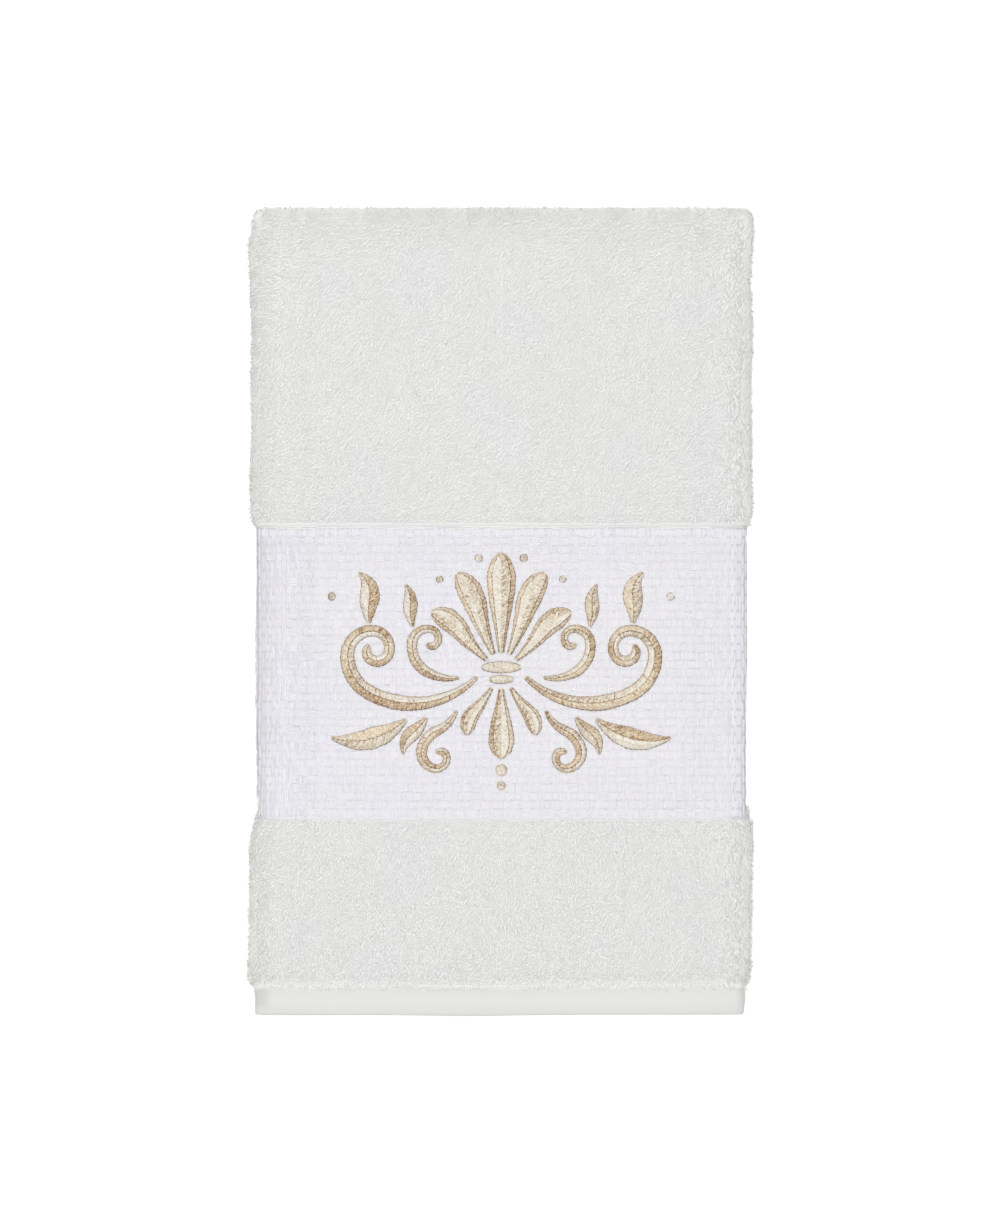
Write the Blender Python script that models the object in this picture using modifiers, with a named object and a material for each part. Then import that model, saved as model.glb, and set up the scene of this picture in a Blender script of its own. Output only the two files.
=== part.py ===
"""Terry hand towel, folded in half and with both sides turned behind, lying face up.

The cloth is woven in one length: hem, terry, flat basket-weave border, terry, border, terry, hem.
Its sides are turned behind to meet at the back, and it is then folded across, so that four layers
lie on each other. The front border carries raised embroidery, one solid for each stitched figure.

Metres, +Z up. X runs across the towel, +Y from the front hem to the top fold. The origin is on the
surface that the towel lies on, under the middle of it.
"""
import math
from collections import namedtuple

import bmesh
import bpy

MM = 0.001

# Folded towel
LENGTH = 370.4 * MM             # front hem to top fold
TERRY_THICK = 4.4 * MM          # terry cloth with its pile on both faces
GROUND_THICK = 2.4 * MM         # border and hem, woven without pile
GROUND_ROOM = 3.3 * MM          # they lie looser than they are thick
LAYER_GAP = 0.5 * MM            # air between two layers that lie on each other
FLAP_GAP = 3.5 * MM             # between the two turned edges, behind the middle
FLAP_WANDER = 1.2 * MM          # how far the turned edges stray from straight
WANDER_RATE = 19.0              # radians in each metre along the cloth
BACK_SHORTER = 5.5 * MM         # the back hem stops this far short of the front one
BACK_INSET = 0.4 * MM           # and the back half's folds lie this far inside the front's
HEM_SKEW = 0.3 * MM             # the front hem climbs this much towards its right end
HEM_SAG = 0.45 * MM             # and hangs this much lower
SAG_AT = -15.0 * MM             # around this place across it
SAG_REACH = 44.0 * MM           # and this far to both sides
SKEW_REACH = 60.0 * MM          # the cloth is straight again this far up
TOP_ALONG = LENGTH - 9.0 * MM   # the top fold's width and air are those at this place

SETTLE = 30.0 * MM              # past the terry's edge, layers sink to the thin cloth's height
CROWN_REACH = 26.0 * MM         # the air inside closes up over this width at each side
AIR_IN_TERRY = 0.8 * MM         # air between front and back half, beyond LAYER_GAP
AIR_IN_GROUND = 1.9 * MM
AIR_WAVE = 0.35 * MM            # slow unevenness of that air
WAVE_RATE_ACROSS = 31.0         # radians in each metre
WAVE_RATE_ALONG = 23.0
WAVE_START = 1.0                # radians, in the middle of the hem

# Top corners, rounded in plan
LEFT_CORNER = 8.0 * MM
RIGHT_CORNER = 2.8 * MM

TOWEL_COLOUR = (0.80, 0.80, 0.775)
CHAMPAGNE = (0.78, 0.69, 0.54)
GOLD = (0.66, 0.49, 0.32)
COTTON_ROUGHNESS = 0.95
SATIN_ROUGHNESS = 0.4

Section = namedtuple("Section", "name start end pile")
SECTIONS = (                    # along the cloth from each hem, in mm
    Section("hem", 0.0, 14.2, False),
    Section("lower_terry", 14.2, 89.5, True),
    Section("border", 89.5, 224.4, False),
    Section("upper_terry", 224.4, 400.0, True),     # runs on over the top fold
)

FoldLine = namedtuple("FoldLine", "along left right")
FOLD_LINES = (                  # middle of the cloth at the side folds, from the middle line, in mm
    FoldLine(0.0, 111.8, 110.1),
    FoldLine(8.0, 111.7, 110.8),
    FoldLine(13.4, 112.3, 110.3),
    FoldLine(17.5, 114.0, 111.9),
    FoldLine(24.0, 114.0, 112.6),
    FoldLine(50.0, 113.5, 112.7),
    FoldLine(76.0, 113.3, 113.1),
    FoldLine(83.0, 112.3, 113.0),
    FoldLine(89.5, 109.9, 112.0),
    FoldLine(94.0, 109.8, 110.6),
    FoldLine(100.0, 110.8, 111.3),
    FoldLine(140.0, 111.5, 111.4),
    FoldLine(165.0, 111.8, 111.9),
    FoldLine(212.0, 111.1, 111.8),
    FoldLine(218.0, 111.0, 111.4),
    FoldLine(224.4, 111.8, 111.9),
    FoldLine(231.0, 113.2, 113.3),
    FoldLine(248.0, 113.1, 112.7),
    FoldLine(267.0, 112.5, 112.8),
    FoldLine(290.0, 112.8, 112.4),
    FoldLine(310.0, 112.3, 113.1),
    FoldLine(338.0, 113.3, 112.4),
    FoldLine(354.0, 114.0, 113.5),
    FoldLine(361.4, 112.5, 113.7),
    FoldLine(371.0, 112.5, 113.7),
)

# Embroidery, in the middle of the front border. A figure starts at (x, y) from the ornament's
# middle and runs along legs of (length in mm, turn in degrees to the left). Its width swells and
# tapers by its form, and it is stitched on both halves where mirrored is True.
STITCH_MIDDLE_Y = 157.0 * MM - LENGTH / 2.0
STITCH_GAP = 0.4 * MM           # between the cloth and the backs of the stitches
STITCH_HEIGHT = 1.1 * MM
STITCH_FULL_WIDTH = 3.2 * MM    # a figure narrower than this is lower in proportion
STITCH_LEAST_HEIGHT = 0.3 * MM
TURN_STEP = 20.0                # degrees between two sections of a figure, at most
SECTION_STEP = 6.0              # mm between two sections, at most
NEAR_SHARE = 0.02               # sections closer than this share of the length are merged

Figure = namedtuple("Figure", "name form mirrored x y heading width legs")
FIGURES = (
    Figure("petal_mid", "petal", False, 0.0, 9.0, 90.0, 12.5, ((46.0, 0.0),)),
    Figure("petal_in", "petal", True, 3.6, 8.4, 66.0, 10.5, ((22.0, 8.0), (19.0, -26.0))),
    Figure("petal_out", "petal", True, 6.6, 5.8, 40.0, 9.5, ((17.0, 14.0), (17.0, -40.0))),
    Figure("collar", "bead", False, -9.0, 2.4, 0.0, 5.0, ((18.0, 0.0),)),
    Figure("ring", "bead", False, -5.6, -3.2, 0.0, 3.6, ((11.2, 0.0),)),
    Figure("drop_mid", "petal", False, 0.0, -7.5, 270.0, 11.0, ((32.0, 0.0),)),
    Figure("drop_side", "petal", True, 4.4, -7.0, 300.0, 7.0, ((13.0, 12.0), (12.0, -50.0))),
    Figure("bead_low", "bead", False, 0.0, -42.4, 270.0, 5.0, ((5.0, 0.0),)),
    Figure("bead_end", "bead", False, 0.0, -50.2, 270.0, 3.6, ((3.6, 0.0),)),
    Figure("scroll", "scroll", True, 11.2, -2.2, 316.0, 6.4,
           ((24.0, 32.0), (29.0, 40.0), (21.0, 62.0), (18.0, 90.0), (15.0, 110.0), (10.5, 110.0),
            (7.0, 100.0))),
    Figure("curl_up", "scroll", True, 19.5, -2.4, 350.0, 4.4,
           ((15.0, 40.0), (16.0, 66.0), (12.0, 96.0), (9.0, 120.0), (5.0, 110.0))),
    Figure("curl_low", "scroll", True, 20.5, -17.5, 292.0, 4.6,
           ((13.0, 44.0), (11.0, -50.0), (12.0, -90.0), (10.0, -120.0), (6.0, -120.0))),
    Figure("sprig", "leaf", True, 40.6, 21.0, 74.0, 6.2, ((10.0, 20.0), (10.0, -34.0))),
    Figure("leaf_low", "leaf", True, 43.5, -21.5, 318.0, 9.4, ((18.0, 26.0), (19.0, 34.0))),
    Figure("leaf_mid", "leaf", True, 34.2, -20.6, 302.0, 6.5, ((10.0, 20.0), (11.0, -60.0))),
    Figure("leaf_top", "leaf", True, 60.5, 22.6, 84.0, 8.5, ((12.0, 14.0), (13.0, -64.0))),
)

# Width of a figure along its length: (share of the length, share of the width)
WIDTHS = {
    "petal": ((0.0, 0.18), (0.2, 0.4), (0.42, 0.7), (0.62, 0.95), (0.78, 1.0), (0.9, 0.76),
              (0.97, 0.42), (1.0, 0.14)),
    "leaf": ((0.0, 0.14), (0.15, 0.5), (0.35, 0.9), (0.5, 1.0), (0.7, 0.8), (0.86, 0.42), (1.0, 0.08)),
    "scroll": ((0.0, 0.25), (0.12, 0.62), (0.3, 1.0), (0.55, 0.95), (0.8, 0.66), (0.93, 0.72),
               (0.98, 0.55), (1.0, 0.2)),
    "bead": ((0.0, 0.22), (0.1, 0.62), (0.28, 0.92), (0.5, 1.0), (0.72, 0.92), (0.9, 0.62), (1.0, 0.22)),
}

# Section of a figure: (share of the half width, share of the height), over a flat back. Petals and
# leaves are two lanes of stitches that meet in a groove.
SECTION_OF_FORM = {
    "petal": ((-1.0, 0.0), (-0.55, 1.0), (0.0, 0.62), (0.55, 1.0), (1.0, 0.0)),
    "leaf": ((-1.0, 0.0), (-0.55, 1.0), (0.0, 0.62), (0.55, 1.0), (1.0, 0.0)),
    "scroll": ((-1.0, 0.0), (-0.6, 0.75), (0.0, 1.0), (0.6, 0.75), (1.0, 0.0)),
    "bead": ((-1.0, 0.0), (-0.6, 0.75), (0.0, 1.0), (0.6, 0.75), (1.0, 0.0)),
}

# Mesh stations
PANEL_STATIONS = (0.0, 0.4, 0.76, 0.85, 0.91, 0.96, 1.0)    # share of the flat half panel
FLAP_STEPS = 4
SIDE_FOLD_STEPS = 6
TOP_FOLD_STEPS = 10
PILE_EDGE = 0.8 * MM            # width of the step where the pile stops
TOP_CLEAR = 15.0 * MM           # the last row of a half stops this far short of the top
ROW_STATIONS = (                # along the cloth, in mm, besides the pile's edges
    0.0, 7.0, 17.5, 24.0, 40.0, 60.0, 76.0, 83.0, 94.0, 101.0, 108.0, 114.0, 120.0, 131.0, 147.0,
    163.0, 179.0, 194.0, 200.0, 206.0, 212.0, 218.0, 231.0, 248.0, 267.0, 290.0, 310.0, 324.0,
    338.0, 354.0,
)


def smooth(share):
    """Ease from 0 to 1."""
    share = min(max(share, 0.0), 1.0)
    return share * share * (3.0 - 2.0 * share)


def from_terry(along):
    """Distance from this place to the nearest terry, 0 within it."""
    terries = [row for row in SECTIONS if row.pile]
    return min(max(row.start * MM - along, along - row.end * MM, 0.0) for row in terries)


def thickness(along):
    """Thickness of the cloth, which steps up where the pile starts."""
    share = 1.0 - min(from_terry(along) / PILE_EDGE, 1.0)
    return GROUND_THICK + (TERRY_THICK - GROUND_THICK) * share


def settled(ground, terry, along):
    """A value of the terry that turns into the ground cloth's past the pile's edge."""
    return ground + (terry - ground) * smooth(1.0 - from_terry(along) / SETTLE)


def room(along):
    """Height that one layer takes in the stack."""
    return settled(GROUND_ROOM, TERRY_THICK, along)


def air(across, along, half_width):
    """Air between the front and the back half, closed at the side folds."""
    depth = settled(AIR_IN_GROUND, AIR_IN_TERRY, along)
    wave = math.sin(WAVE_RATE_ACROSS * across + WAVE_START) * math.sin(WAVE_RATE_ALONG * along)
    crown = smooth((half_width - abs(across)) / CROWN_REACH)
    return (depth + AIR_WAVE * wave) * crown


def fold_line(along, right):
    """Where a side fold's middle surface lies, as a distance from the middle line."""
    place = along / MM
    for low, high in zip(FOLD_LINES, FOLD_LINES[1:]):
        if place <= high.along:
            break
    share = smooth((place - low.along) / (high.along - low.along))
    start, end = (low.right, high.right) if right else (low.left, high.left)
    return (start + (end - start) * share) * MM


def across_fold(station, along, inset):
    """A station across the cloth, from -3 to 3, as (x, drop) in the folded section.

    Up to 1 from the middle the station is on the panel, from 1 to 2 on the side fold's half round
    and from 2 to 3 on the flap behind. The drop is the depth behind the panel's middle surface.
    """
    side = math.copysign(1.0, station)
    reach = abs(station)
    radius = (room(along) + LAYER_GAP) / 2.0
    panel = fold_line(along, side > 0) - inset - radius
    if reach <= 1.0:
        return side * reach * panel, 0.0
    if reach <= 2.0:
        turn = (reach - 1.0) * math.pi
        return side * (panel + radius * math.sin(turn)), radius * (1.0 - math.cos(turn))
    edge = (FLAP_GAP + FLAP_WANDER * (1.0 + math.sin(WANDER_RATE * along + side))) / 2.0
    return side * (panel + (edge - panel) * (reach - 2.0)), 2.0 * radius


def layer_heights(across, front, back, half_width):
    """Heights of the front panel and the back panel, given the sections that lie there."""
    low = settled(GROUND_THICK, TERRY_THICK, back) / 2.0
    back_flap = low + room(back) + LAYER_GAP
    between = (room(back) + room(front)) / 2.0 + LAYER_GAP + air(across, front, half_width)
    return back_flap + between + room(front) + LAYER_GAP, low


def corner_cut(across, half_width):
    """How far the top fold draws back where the corner is rounded."""
    radius = RIGHT_CORNER if across > 0 else LEFT_CORNER
    past = abs(across) - (half_width + TERRY_THICK / 2.0 - radius)
    if past <= 0.0:
        return 0.0
    return radius - math.sqrt(radius ** 2 - min(past, radius) ** 2)


def top_fold_axis(across, half_width, radius):
    """Y of the line that the top fold turns about."""
    return LENGTH / 2.0 - TERRY_THICK / 2.0 - radius - corner_cut(across, half_width)


def front_height(across, along, half_width):
    """Height of the front panel's middle surface."""
    return layer_heights(across, along, max(along - BACK_SHORTER, 0.0), half_width)[0]


def front_y(across, along):
    """Y of a place on the front half, whose hem isn't quite straight."""
    skew = HEM_SKEW * smooth(0.5 + across / LENGTH)
    sag = HEM_SAG * smooth(1.0 - abs(across - SAG_AT) / SAG_REACH)
    return -LENGTH / 2.0 + along + (skew - sag) * smooth(1.0 - along / SKEW_REACH)


def top_point(station, turned):
    """A point of the top fold, turned from 0 at the front to 1 at the back."""
    x, drop = across_fold(station, TOP_ALONG, BACK_INSET * smooth(turned))
    half_width = fold_line(TOP_ALONG, station > 0)
    high, low = layer_heights(x, TOP_ALONG, TOP_ALONG, half_width)
    radius = (high - low) / 2.0
    angle = math.pi * (0.5 - turned)
    y = top_fold_axis(x, half_width, radius) + (radius - drop) * math.cos(angle)
    return x, y, low + radius + (radius - drop) * math.sin(angle)


def folded_point(station, leg, along):
    """A point of the cloth's middle surface on the front leg, the top fold or the back leg."""
    if leg == "top":
        return top_point(station, along)
    half_width = fold_line(along, station > 0)
    if leg == "front":
        x, drop = across_fold(station, along, 0.0)
        return x, front_y(x, along), front_height(x, along, half_width) - drop
    x, drop = across_fold(station, along, BACK_INSET)
    low = layer_heights(x, along, along, half_width)[1]
    return x, -LENGTH / 2.0 + BACK_SHORTER + along, low + drop


def half_rows(leg, hem_edge):
    """The rows of one half as (leg, along, thickness), from its hem to the top fold."""
    stations = [place * MM for place in ROW_STATIONS]
    for row in SECTIONS:
        if row.pile:
            stations += [row.start * MM - PILE_EDGE, row.start * MM]
            stations += [row.end * MM, row.end * MM + PILE_EDGE]
    last = LENGTH / 2.0 - TOP_CLEAR - hem_edge
    return [(leg, along, thickness(along)) for along in sorted(stations) if along < last]


def cloth_rows():
    """Every row along the cloth, from the front hem over the top fold to the back hem."""
    front = half_rows("front", -LENGTH / 2.0)
    top = [("top", step / TOP_FOLD_STEPS, TERRY_THICK) for step in range(TOP_FOLD_STEPS + 1)]
    back = half_rows("back", -LENGTH / 2.0 + BACK_SHORTER)
    return front + top + back[::-1]


def cloth_stations():
    """Every station across the cloth, from the left turned edge to the right one."""
    flap = [3.0 - step / FLAP_STEPS for step in range(FLAP_STEPS)]
    fold = [2.0 - step / SIDE_FOLD_STEPS for step in range(SIDE_FOLD_STEPS)]
    right = flap + fold + list(PANEL_STATIONS[::-1])
    return [-station for station in right[:-1]] + right[::-1]


def new_material(name, colour, roughness):
    """A plain fabric material."""
    material = bpy.data.materials.new(name)
    material.use_nodes = True
    shader = material.node_tree.nodes["Principled BSDF"]
    shader.inputs["Base Color"].default_value = (*colour, 1.0)
    shader.inputs["Roughness"].default_value = roughness
    shader.inputs["Metallic"].default_value = 0.0
    return material


def new_object(name, mesh, material, collection):
    """An object for one piece of the towel."""
    piece = bpy.data.objects.new(name, mesh)
    piece.data.materials.append(material)
    collection.objects.link(piece)
    return piece


def make_cloth(collection):
    """The folded cloth: a grid moved onto the fold, then thickened row by row."""
    rows = cloth_rows()
    stations = cloth_stations()
    columns = len(stations)
    shape = bmesh.new()
    bmesh.ops.create_grid(shape, x_segments=columns - 1, y_segments=len(rows) - 1, size=1.0)
    weights = shape.verts.layers.deform.verify()
    shape.verts.ensure_lookup_table()
    for index, vert in enumerate(shape.verts):
        leg, along, thick = rows[index // columns]
        vert.co = folded_point(stations[index % columns], leg, along)
        vert[weights][0] = thick / TERRY_THICK
    mesh = bpy.data.meshes.new("towel")
    shape.to_mesh(mesh)
    shape.free()
    mesh.shade_smooth()
    terry = new_material("terry", TOWEL_COLOUR, COTTON_ROUGHNESS)
    towel = new_object("towel", mesh, terry, collection)
    towel.vertex_groups.new(name="thickness")
    solid = towel.modifiers.new("thickness", "SOLIDIFY")
    solid.thickness = TERRY_THICK
    solid.offset = 0.0
    solid.use_even_offset = True
    solid.vertex_group = "thickness"
    solid.thickness_vertex_group = 0.0
    return towel


def place_on_figure(figure, share):
    """Place and heading on a figure's middle line, whose legs are arcs, in mm and radians."""
    x, y, heading = figure.x, figure.y, math.radians(figure.heading)
    left = share * sum(length for length, turn in figure.legs)
    for length, turn in figure.legs:
        step = min(left, length)
        bend = math.radians(turn) * step / length
        chord = step * (math.sin(bend / 2.0) / (bend / 2.0) if bend else 1.0)
        x += chord * math.cos(heading + bend / 2.0)
        y += chord * math.sin(heading + bend / 2.0)
        heading += bend
        left -= step
    return x, y, heading


def width_share(form, share):
    """How wide a figure of this form is at a share of its length."""
    rows = WIDTHS[form]
    for (start, low), (end, high) in zip(rows, rows[1:]):
        if share <= end:
            break
    return low + (high - low) * (share - start) / (end - start)


def figure_shares(figure):
    """Where a figure's sections lie: at the rows of its widths, and closer where it bends."""
    total = sum(length for length, turn in figure.legs)
    shares = [share for share, width in WIDTHS[figure.form]]
    done = 0.0
    for length, turn in figure.legs:
        steps = math.ceil(max(abs(turn) / TURN_STEP, length / SECTION_STEP))
        between = [(done + length * step / steps) / total for step in range(steps)]
        shares += [share for share in between if min(abs(share - kept) for kept in shares) > NEAR_SHARE]
        done += length
    return sorted(shares)


def surface_height(towel, x, y):
    """Height of the towel's upper surface at a place, found from well above it."""
    return towel.ray_cast((x, y, LENGTH), (0.0, 0.0, -1.0))[1].z


def make_figure(figure, side, towel, material, collection):
    """One stitched figure, lofted along its middle line over the border's surface."""
    shape = bmesh.new()
    rings = []
    for share in figure_shares(figure):
        x, y, heading = place_on_figure(figure, share)
        half = figure.width * width_share(figure.form, share) / 2.0
        height = STITCH_HEIGHT * min(2.0 * half * MM / STITCH_FULL_WIDTH, 1.0)
        height = max(height, STITCH_LEAST_HEIGHT)
        ring = []
        for aside, rise in SECTION_OF_FORM[figure.form]:
            place_x = side * (x + aside * half * math.sin(heading)) * MM
            place_y = STITCH_MIDDLE_Y + (y - aside * half * math.cos(heading)) * MM
            back = surface_height(towel, place_x, place_y) + STITCH_GAP
            ring.append(shape.verts.new((place_x, place_y, back + rise * height)))
        rings.append(ring)
    for ring, following in zip(rings, rings[1:]):
        for index, corner in enumerate(ring):
            shape.faces.new((ring[index - 1], corner, following[index], following[index - 1]))
    shape.faces.new(rings[0])
    shape.faces.new(rings[-1])
    bmesh.ops.recalc_face_normals(shape, faces=shape.faces)
    name = "stitch_" + figure.name
    if figure.mirrored:
        name += "_right" if side > 0 else "_left"
    mesh = bpy.data.meshes.new(name)
    shape.to_mesh(mesh)
    shape.free()
    return new_object(name, mesh, material, collection)


def make_embroidery(towel, collection):
    """The ornament on the front border."""
    bpy.context.view_layer.update()
    finished = towel.evaluated_get(bpy.context.evaluated_depsgraph_get())
    champagne = new_material("champagne_thread", CHAMPAGNE, SATIN_ROUGHNESS)
    gold = new_material("gold_thread", GOLD, SATIN_ROUGHNESS)
    for figure in FIGURES:
        material = gold if figure.form == "scroll" else champagne
        for side in (1.0, -1.0) if figure.mirrored else (1.0,):
            make_figure(figure, side, finished, material, collection)


def main():
    """Build the towel in an empty scene."""
    for item in list(bpy.data.objects):
        bpy.data.objects.remove(item, do_unlink=True)
    collection = bpy.data.collections.new("folded_hand_towel")
    bpy.context.scene.collection.children.link(collection)
    towel = make_cloth(collection)
    make_embroidery(towel, collection)


main()
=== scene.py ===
"""Looks of the folded terry hand towel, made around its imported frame.

The cloth is moved onto the fold that the solids have, as a thin sheet. Terry loops, the border's
basket weave and the satin stitches are short strands of yarn that lie on it. Places on the cloth
are (q, v): q runs across it from its middle line, and v from the front hem over the top fold to
the back hem. Metres, in the frame's axes.
"""
import math
from collections import namedtuple

import bpy
import numpy as np
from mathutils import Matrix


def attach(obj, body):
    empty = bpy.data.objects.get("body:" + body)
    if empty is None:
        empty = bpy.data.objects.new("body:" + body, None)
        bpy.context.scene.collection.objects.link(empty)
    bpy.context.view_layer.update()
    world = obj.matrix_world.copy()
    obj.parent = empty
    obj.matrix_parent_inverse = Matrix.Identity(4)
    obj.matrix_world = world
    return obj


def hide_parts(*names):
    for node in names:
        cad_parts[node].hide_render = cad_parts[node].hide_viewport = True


MM = 0.001

# ---- The fold, as in the part's source ----

LENGTH = 370.4 * MM             # front hem to top fold
TERRY_THICK = 4.4 * MM          # terry cloth with its pile on both faces
GROUND_THICK = 2.4 * MM         # border and hem, woven without pile
GROUND_ROOM = 3.3 * MM          # they lie looser than they are thick
LAYER_GAP = 0.5 * MM            # air between two layers that lie on each other
FLAP_GAP = 3.5 * MM             # between the two turned edges, behind the middle
FLAP_WANDER = 1.2 * MM          # how far the turned edges stray from straight
WANDER_RATE = 19.0              # radians in each metre along the cloth
BACK_SHORTER = 5.5 * MM         # the back hem stops this far short of the front one
BACK_INSET = 0.4 * MM           # and the back half's folds lie this far inside the front's
HEM_SKEW = 0.3 * MM             # the front hem climbs this much towards its right end
HEM_SAG = 0.45 * MM             # and hangs this much lower
SAG_AT = -15.0 * MM             # around this place across it
SAG_REACH = 44.0 * MM           # and this far to both sides
SKEW_REACH = 60.0 * MM          # the cloth is straight again this far up
TOP_ALONG = LENGTH - 9.0 * MM   # the top fold's width and air are those at this place
SETTLE = 30.0 * MM              # past the terry's edge, layers sink to the thin cloth's height
CROWN_REACH = 26.0 * MM         # the air inside closes up over this width at each side
AIR_IN_TERRY = 0.8 * MM         # air between front and back half, beyond LAYER_GAP
AIR_IN_GROUND = 1.9 * MM
AIR_WAVE = 0.35 * MM            # slow unevenness of that air
WAVE_RATE_ACROSS = 31.0         # radians in each metre
WAVE_RATE_ALONG = 23.0
WAVE_START = 1.0                # radians, in the middle of the hem
LEFT_CORNER = 8.0 * MM          # the top corners are rounded in plan
RIGHT_CORNER = 2.8 * MM

TOP_RADIUS = 7.75 * MM          # of the top fold's middle surface, in the middle
FRONT_RUN = LENGTH - TERRY_THICK / 2.0 - TOP_RADIUS     # v where the top fold starts
TOP_RUN = math.pi * TOP_RADIUS
BACK_RUN = FRONT_RUN - BACK_SHORTER
WHOLE_RUN = FRONT_RUN + TOP_RUN + BACK_RUN
CORNER_BLEND = 40.0 * MM        # the rows bend towards the rounded corners over this length

Section = namedtuple("Section", "name start end pile")
SECTIONS = (                    # along the cloth from each hem, in mm
    Section("hem", 0.0, 14.2, False),
    Section("lower_terry", 14.2, 89.5, True),
    Section("border", 89.5, 224.4, False),
    Section("upper_terry", 224.4, 400.0, True),
)
HEM, LOWER_TERRY, BORDER, UPPER_TERRY = SECTIONS

FoldLine = namedtuple("FoldLine", "along left right")
FOLD_LINES = (                  # middle of the cloth at the side folds, from the middle line, in mm
    FoldLine(0.0, 111.8, 110.1),
    FoldLine(8.0, 111.7, 110.8),
    FoldLine(13.4, 112.3, 110.3),
    FoldLine(17.5, 114.0, 111.9),
    FoldLine(24.0, 114.0, 112.6),
    FoldLine(50.0, 113.5, 112.7),
    FoldLine(76.0, 113.3, 113.1),
    FoldLine(83.0, 112.3, 113.0),
    FoldLine(89.5, 109.9, 112.0),
    FoldLine(94.0, 109.8, 110.6),
    FoldLine(100.0, 110.8, 111.3),
    FoldLine(140.0, 111.5, 111.4),
    FoldLine(165.0, 111.8, 111.9),
    FoldLine(212.0, 111.1, 111.8),
    FoldLine(218.0, 111.0, 111.4),
    FoldLine(224.4, 111.8, 111.9),
    FoldLine(231.0, 113.2, 113.3),
    FoldLine(248.0, 113.1, 112.7),
    FoldLine(267.0, 112.5, 112.8),
    FoldLine(290.0, 112.8, 112.4),
    FoldLine(310.0, 112.3, 113.1),
    FoldLine(338.0, 113.3, 112.4),
    FoldLine(354.0, 114.0, 113.5),
    FoldLine(361.4, 112.5, 113.7),
    FoldLine(371.0, 112.5, 113.7),
)


def smooth(share):
    """Ease from 0 to 1."""
    share = np.clip(share, 0.0, 1.0)
    return share * share * (3.0 - 2.0 * share)


def from_terry(along):
    """Distance from each place to the nearest terry, 0 within it."""
    terries = [row for row in SECTIONS if row.pile]
    gaps = [np.maximum(row.start * MM - along, along - row.end * MM) for row in terries]
    return np.maximum(np.minimum.reduce(gaps), 0.0)


def settled(ground, terry, along):
    """A value of the terry that turns into the ground cloth's past the pile's edge."""
    return ground + (terry - ground) * smooth(1.0 - from_terry(along) / SETTLE)


def room(along):
    """Height that one layer takes in the stack."""
    return settled(GROUND_ROOM, TERRY_THICK, along)


def air(across, along, half_width):
    """Air between the front and the back half, closed at the side folds."""
    depth = settled(AIR_IN_GROUND, AIR_IN_TERRY, along)
    wave = np.sin(WAVE_RATE_ACROSS * across + WAVE_START) * np.sin(WAVE_RATE_ALONG * along)
    crown = smooth((half_width - np.abs(across)) / CROWN_REACH)
    return (depth + AIR_WAVE * wave) * crown


def fold_line(along, right):
    """Where a side fold's middle surface lies, as a distance from the middle line."""
    rows = np.array(FOLD_LINES)
    place = along / MM
    low = np.clip(np.searchsorted(rows[:, 0], place) - 1, 0, len(rows) - 2)
    share = smooth((place - rows[low, 0]) / (rows[low + 1, 0] - rows[low, 0]))
    side = np.where(right, 2, 1)
    return (rows[low, side] + (rows[low + 1, side] - rows[low, side]) * share) * MM


def turn_radius(along):
    """Radius of a side fold's middle surface."""
    return (room(along) + LAYER_GAP) / 2.0


def flat_panel(along, right, inset):
    """Half width of the panel between the side folds."""
    return fold_line(along, right) - inset - turn_radius(along)


def across_fold(q, along, inset):
    """Places across the cloth as (x, drop): the drop is the depth behind the panel's middle."""
    side = np.where(q > 0, 1.0, -1.0)
    radius = turn_radius(along)
    panel = flat_panel(along, q > 0, inset)
    past = np.abs(q) - panel
    turn = np.clip(past / radius, 0.0, math.pi)
    behind = np.maximum(past - math.pi * radius, 0.0)
    x = panel + np.minimum(past, 0.0) + radius * np.sin(turn) - behind
    return side * x, radius * (1.0 - np.cos(turn))


def layer_heights(across, front, back, half_width):
    """Heights of the front panel and the back panel, given the sections that lie there."""
    low = settled(GROUND_THICK, TERRY_THICK, back) / 2.0
    back_flap = low + room(back) + LAYER_GAP
    between = (room(back) + room(front)) / 2.0 + LAYER_GAP + air(across, front, half_width)
    return back_flap + between + room(front) + LAYER_GAP, low


def corner_cut(across, half_width):
    """How far the top fold draws back where the corner is rounded."""
    radius = np.where(across > 0, RIGHT_CORNER, LEFT_CORNER)
    past = np.clip(np.abs(across) - (half_width + TERRY_THICK / 2.0 - radius), 0.0, radius)
    return radius - np.sqrt(radius ** 2 - past ** 2)


def top_turn(x):
    """The top fold's radius at each x, the height of its lower side and how far its axis moves."""
    half_width = fold_line(np.full_like(x, TOP_ALONG), x > 0)
    high, low = layer_heights(x, TOP_ALONG, TOP_ALONG, half_width)
    radius = (high - low) / 2.0
    return radius, low, TOP_RADIUS - radius - corner_cut(x, half_width)


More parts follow.
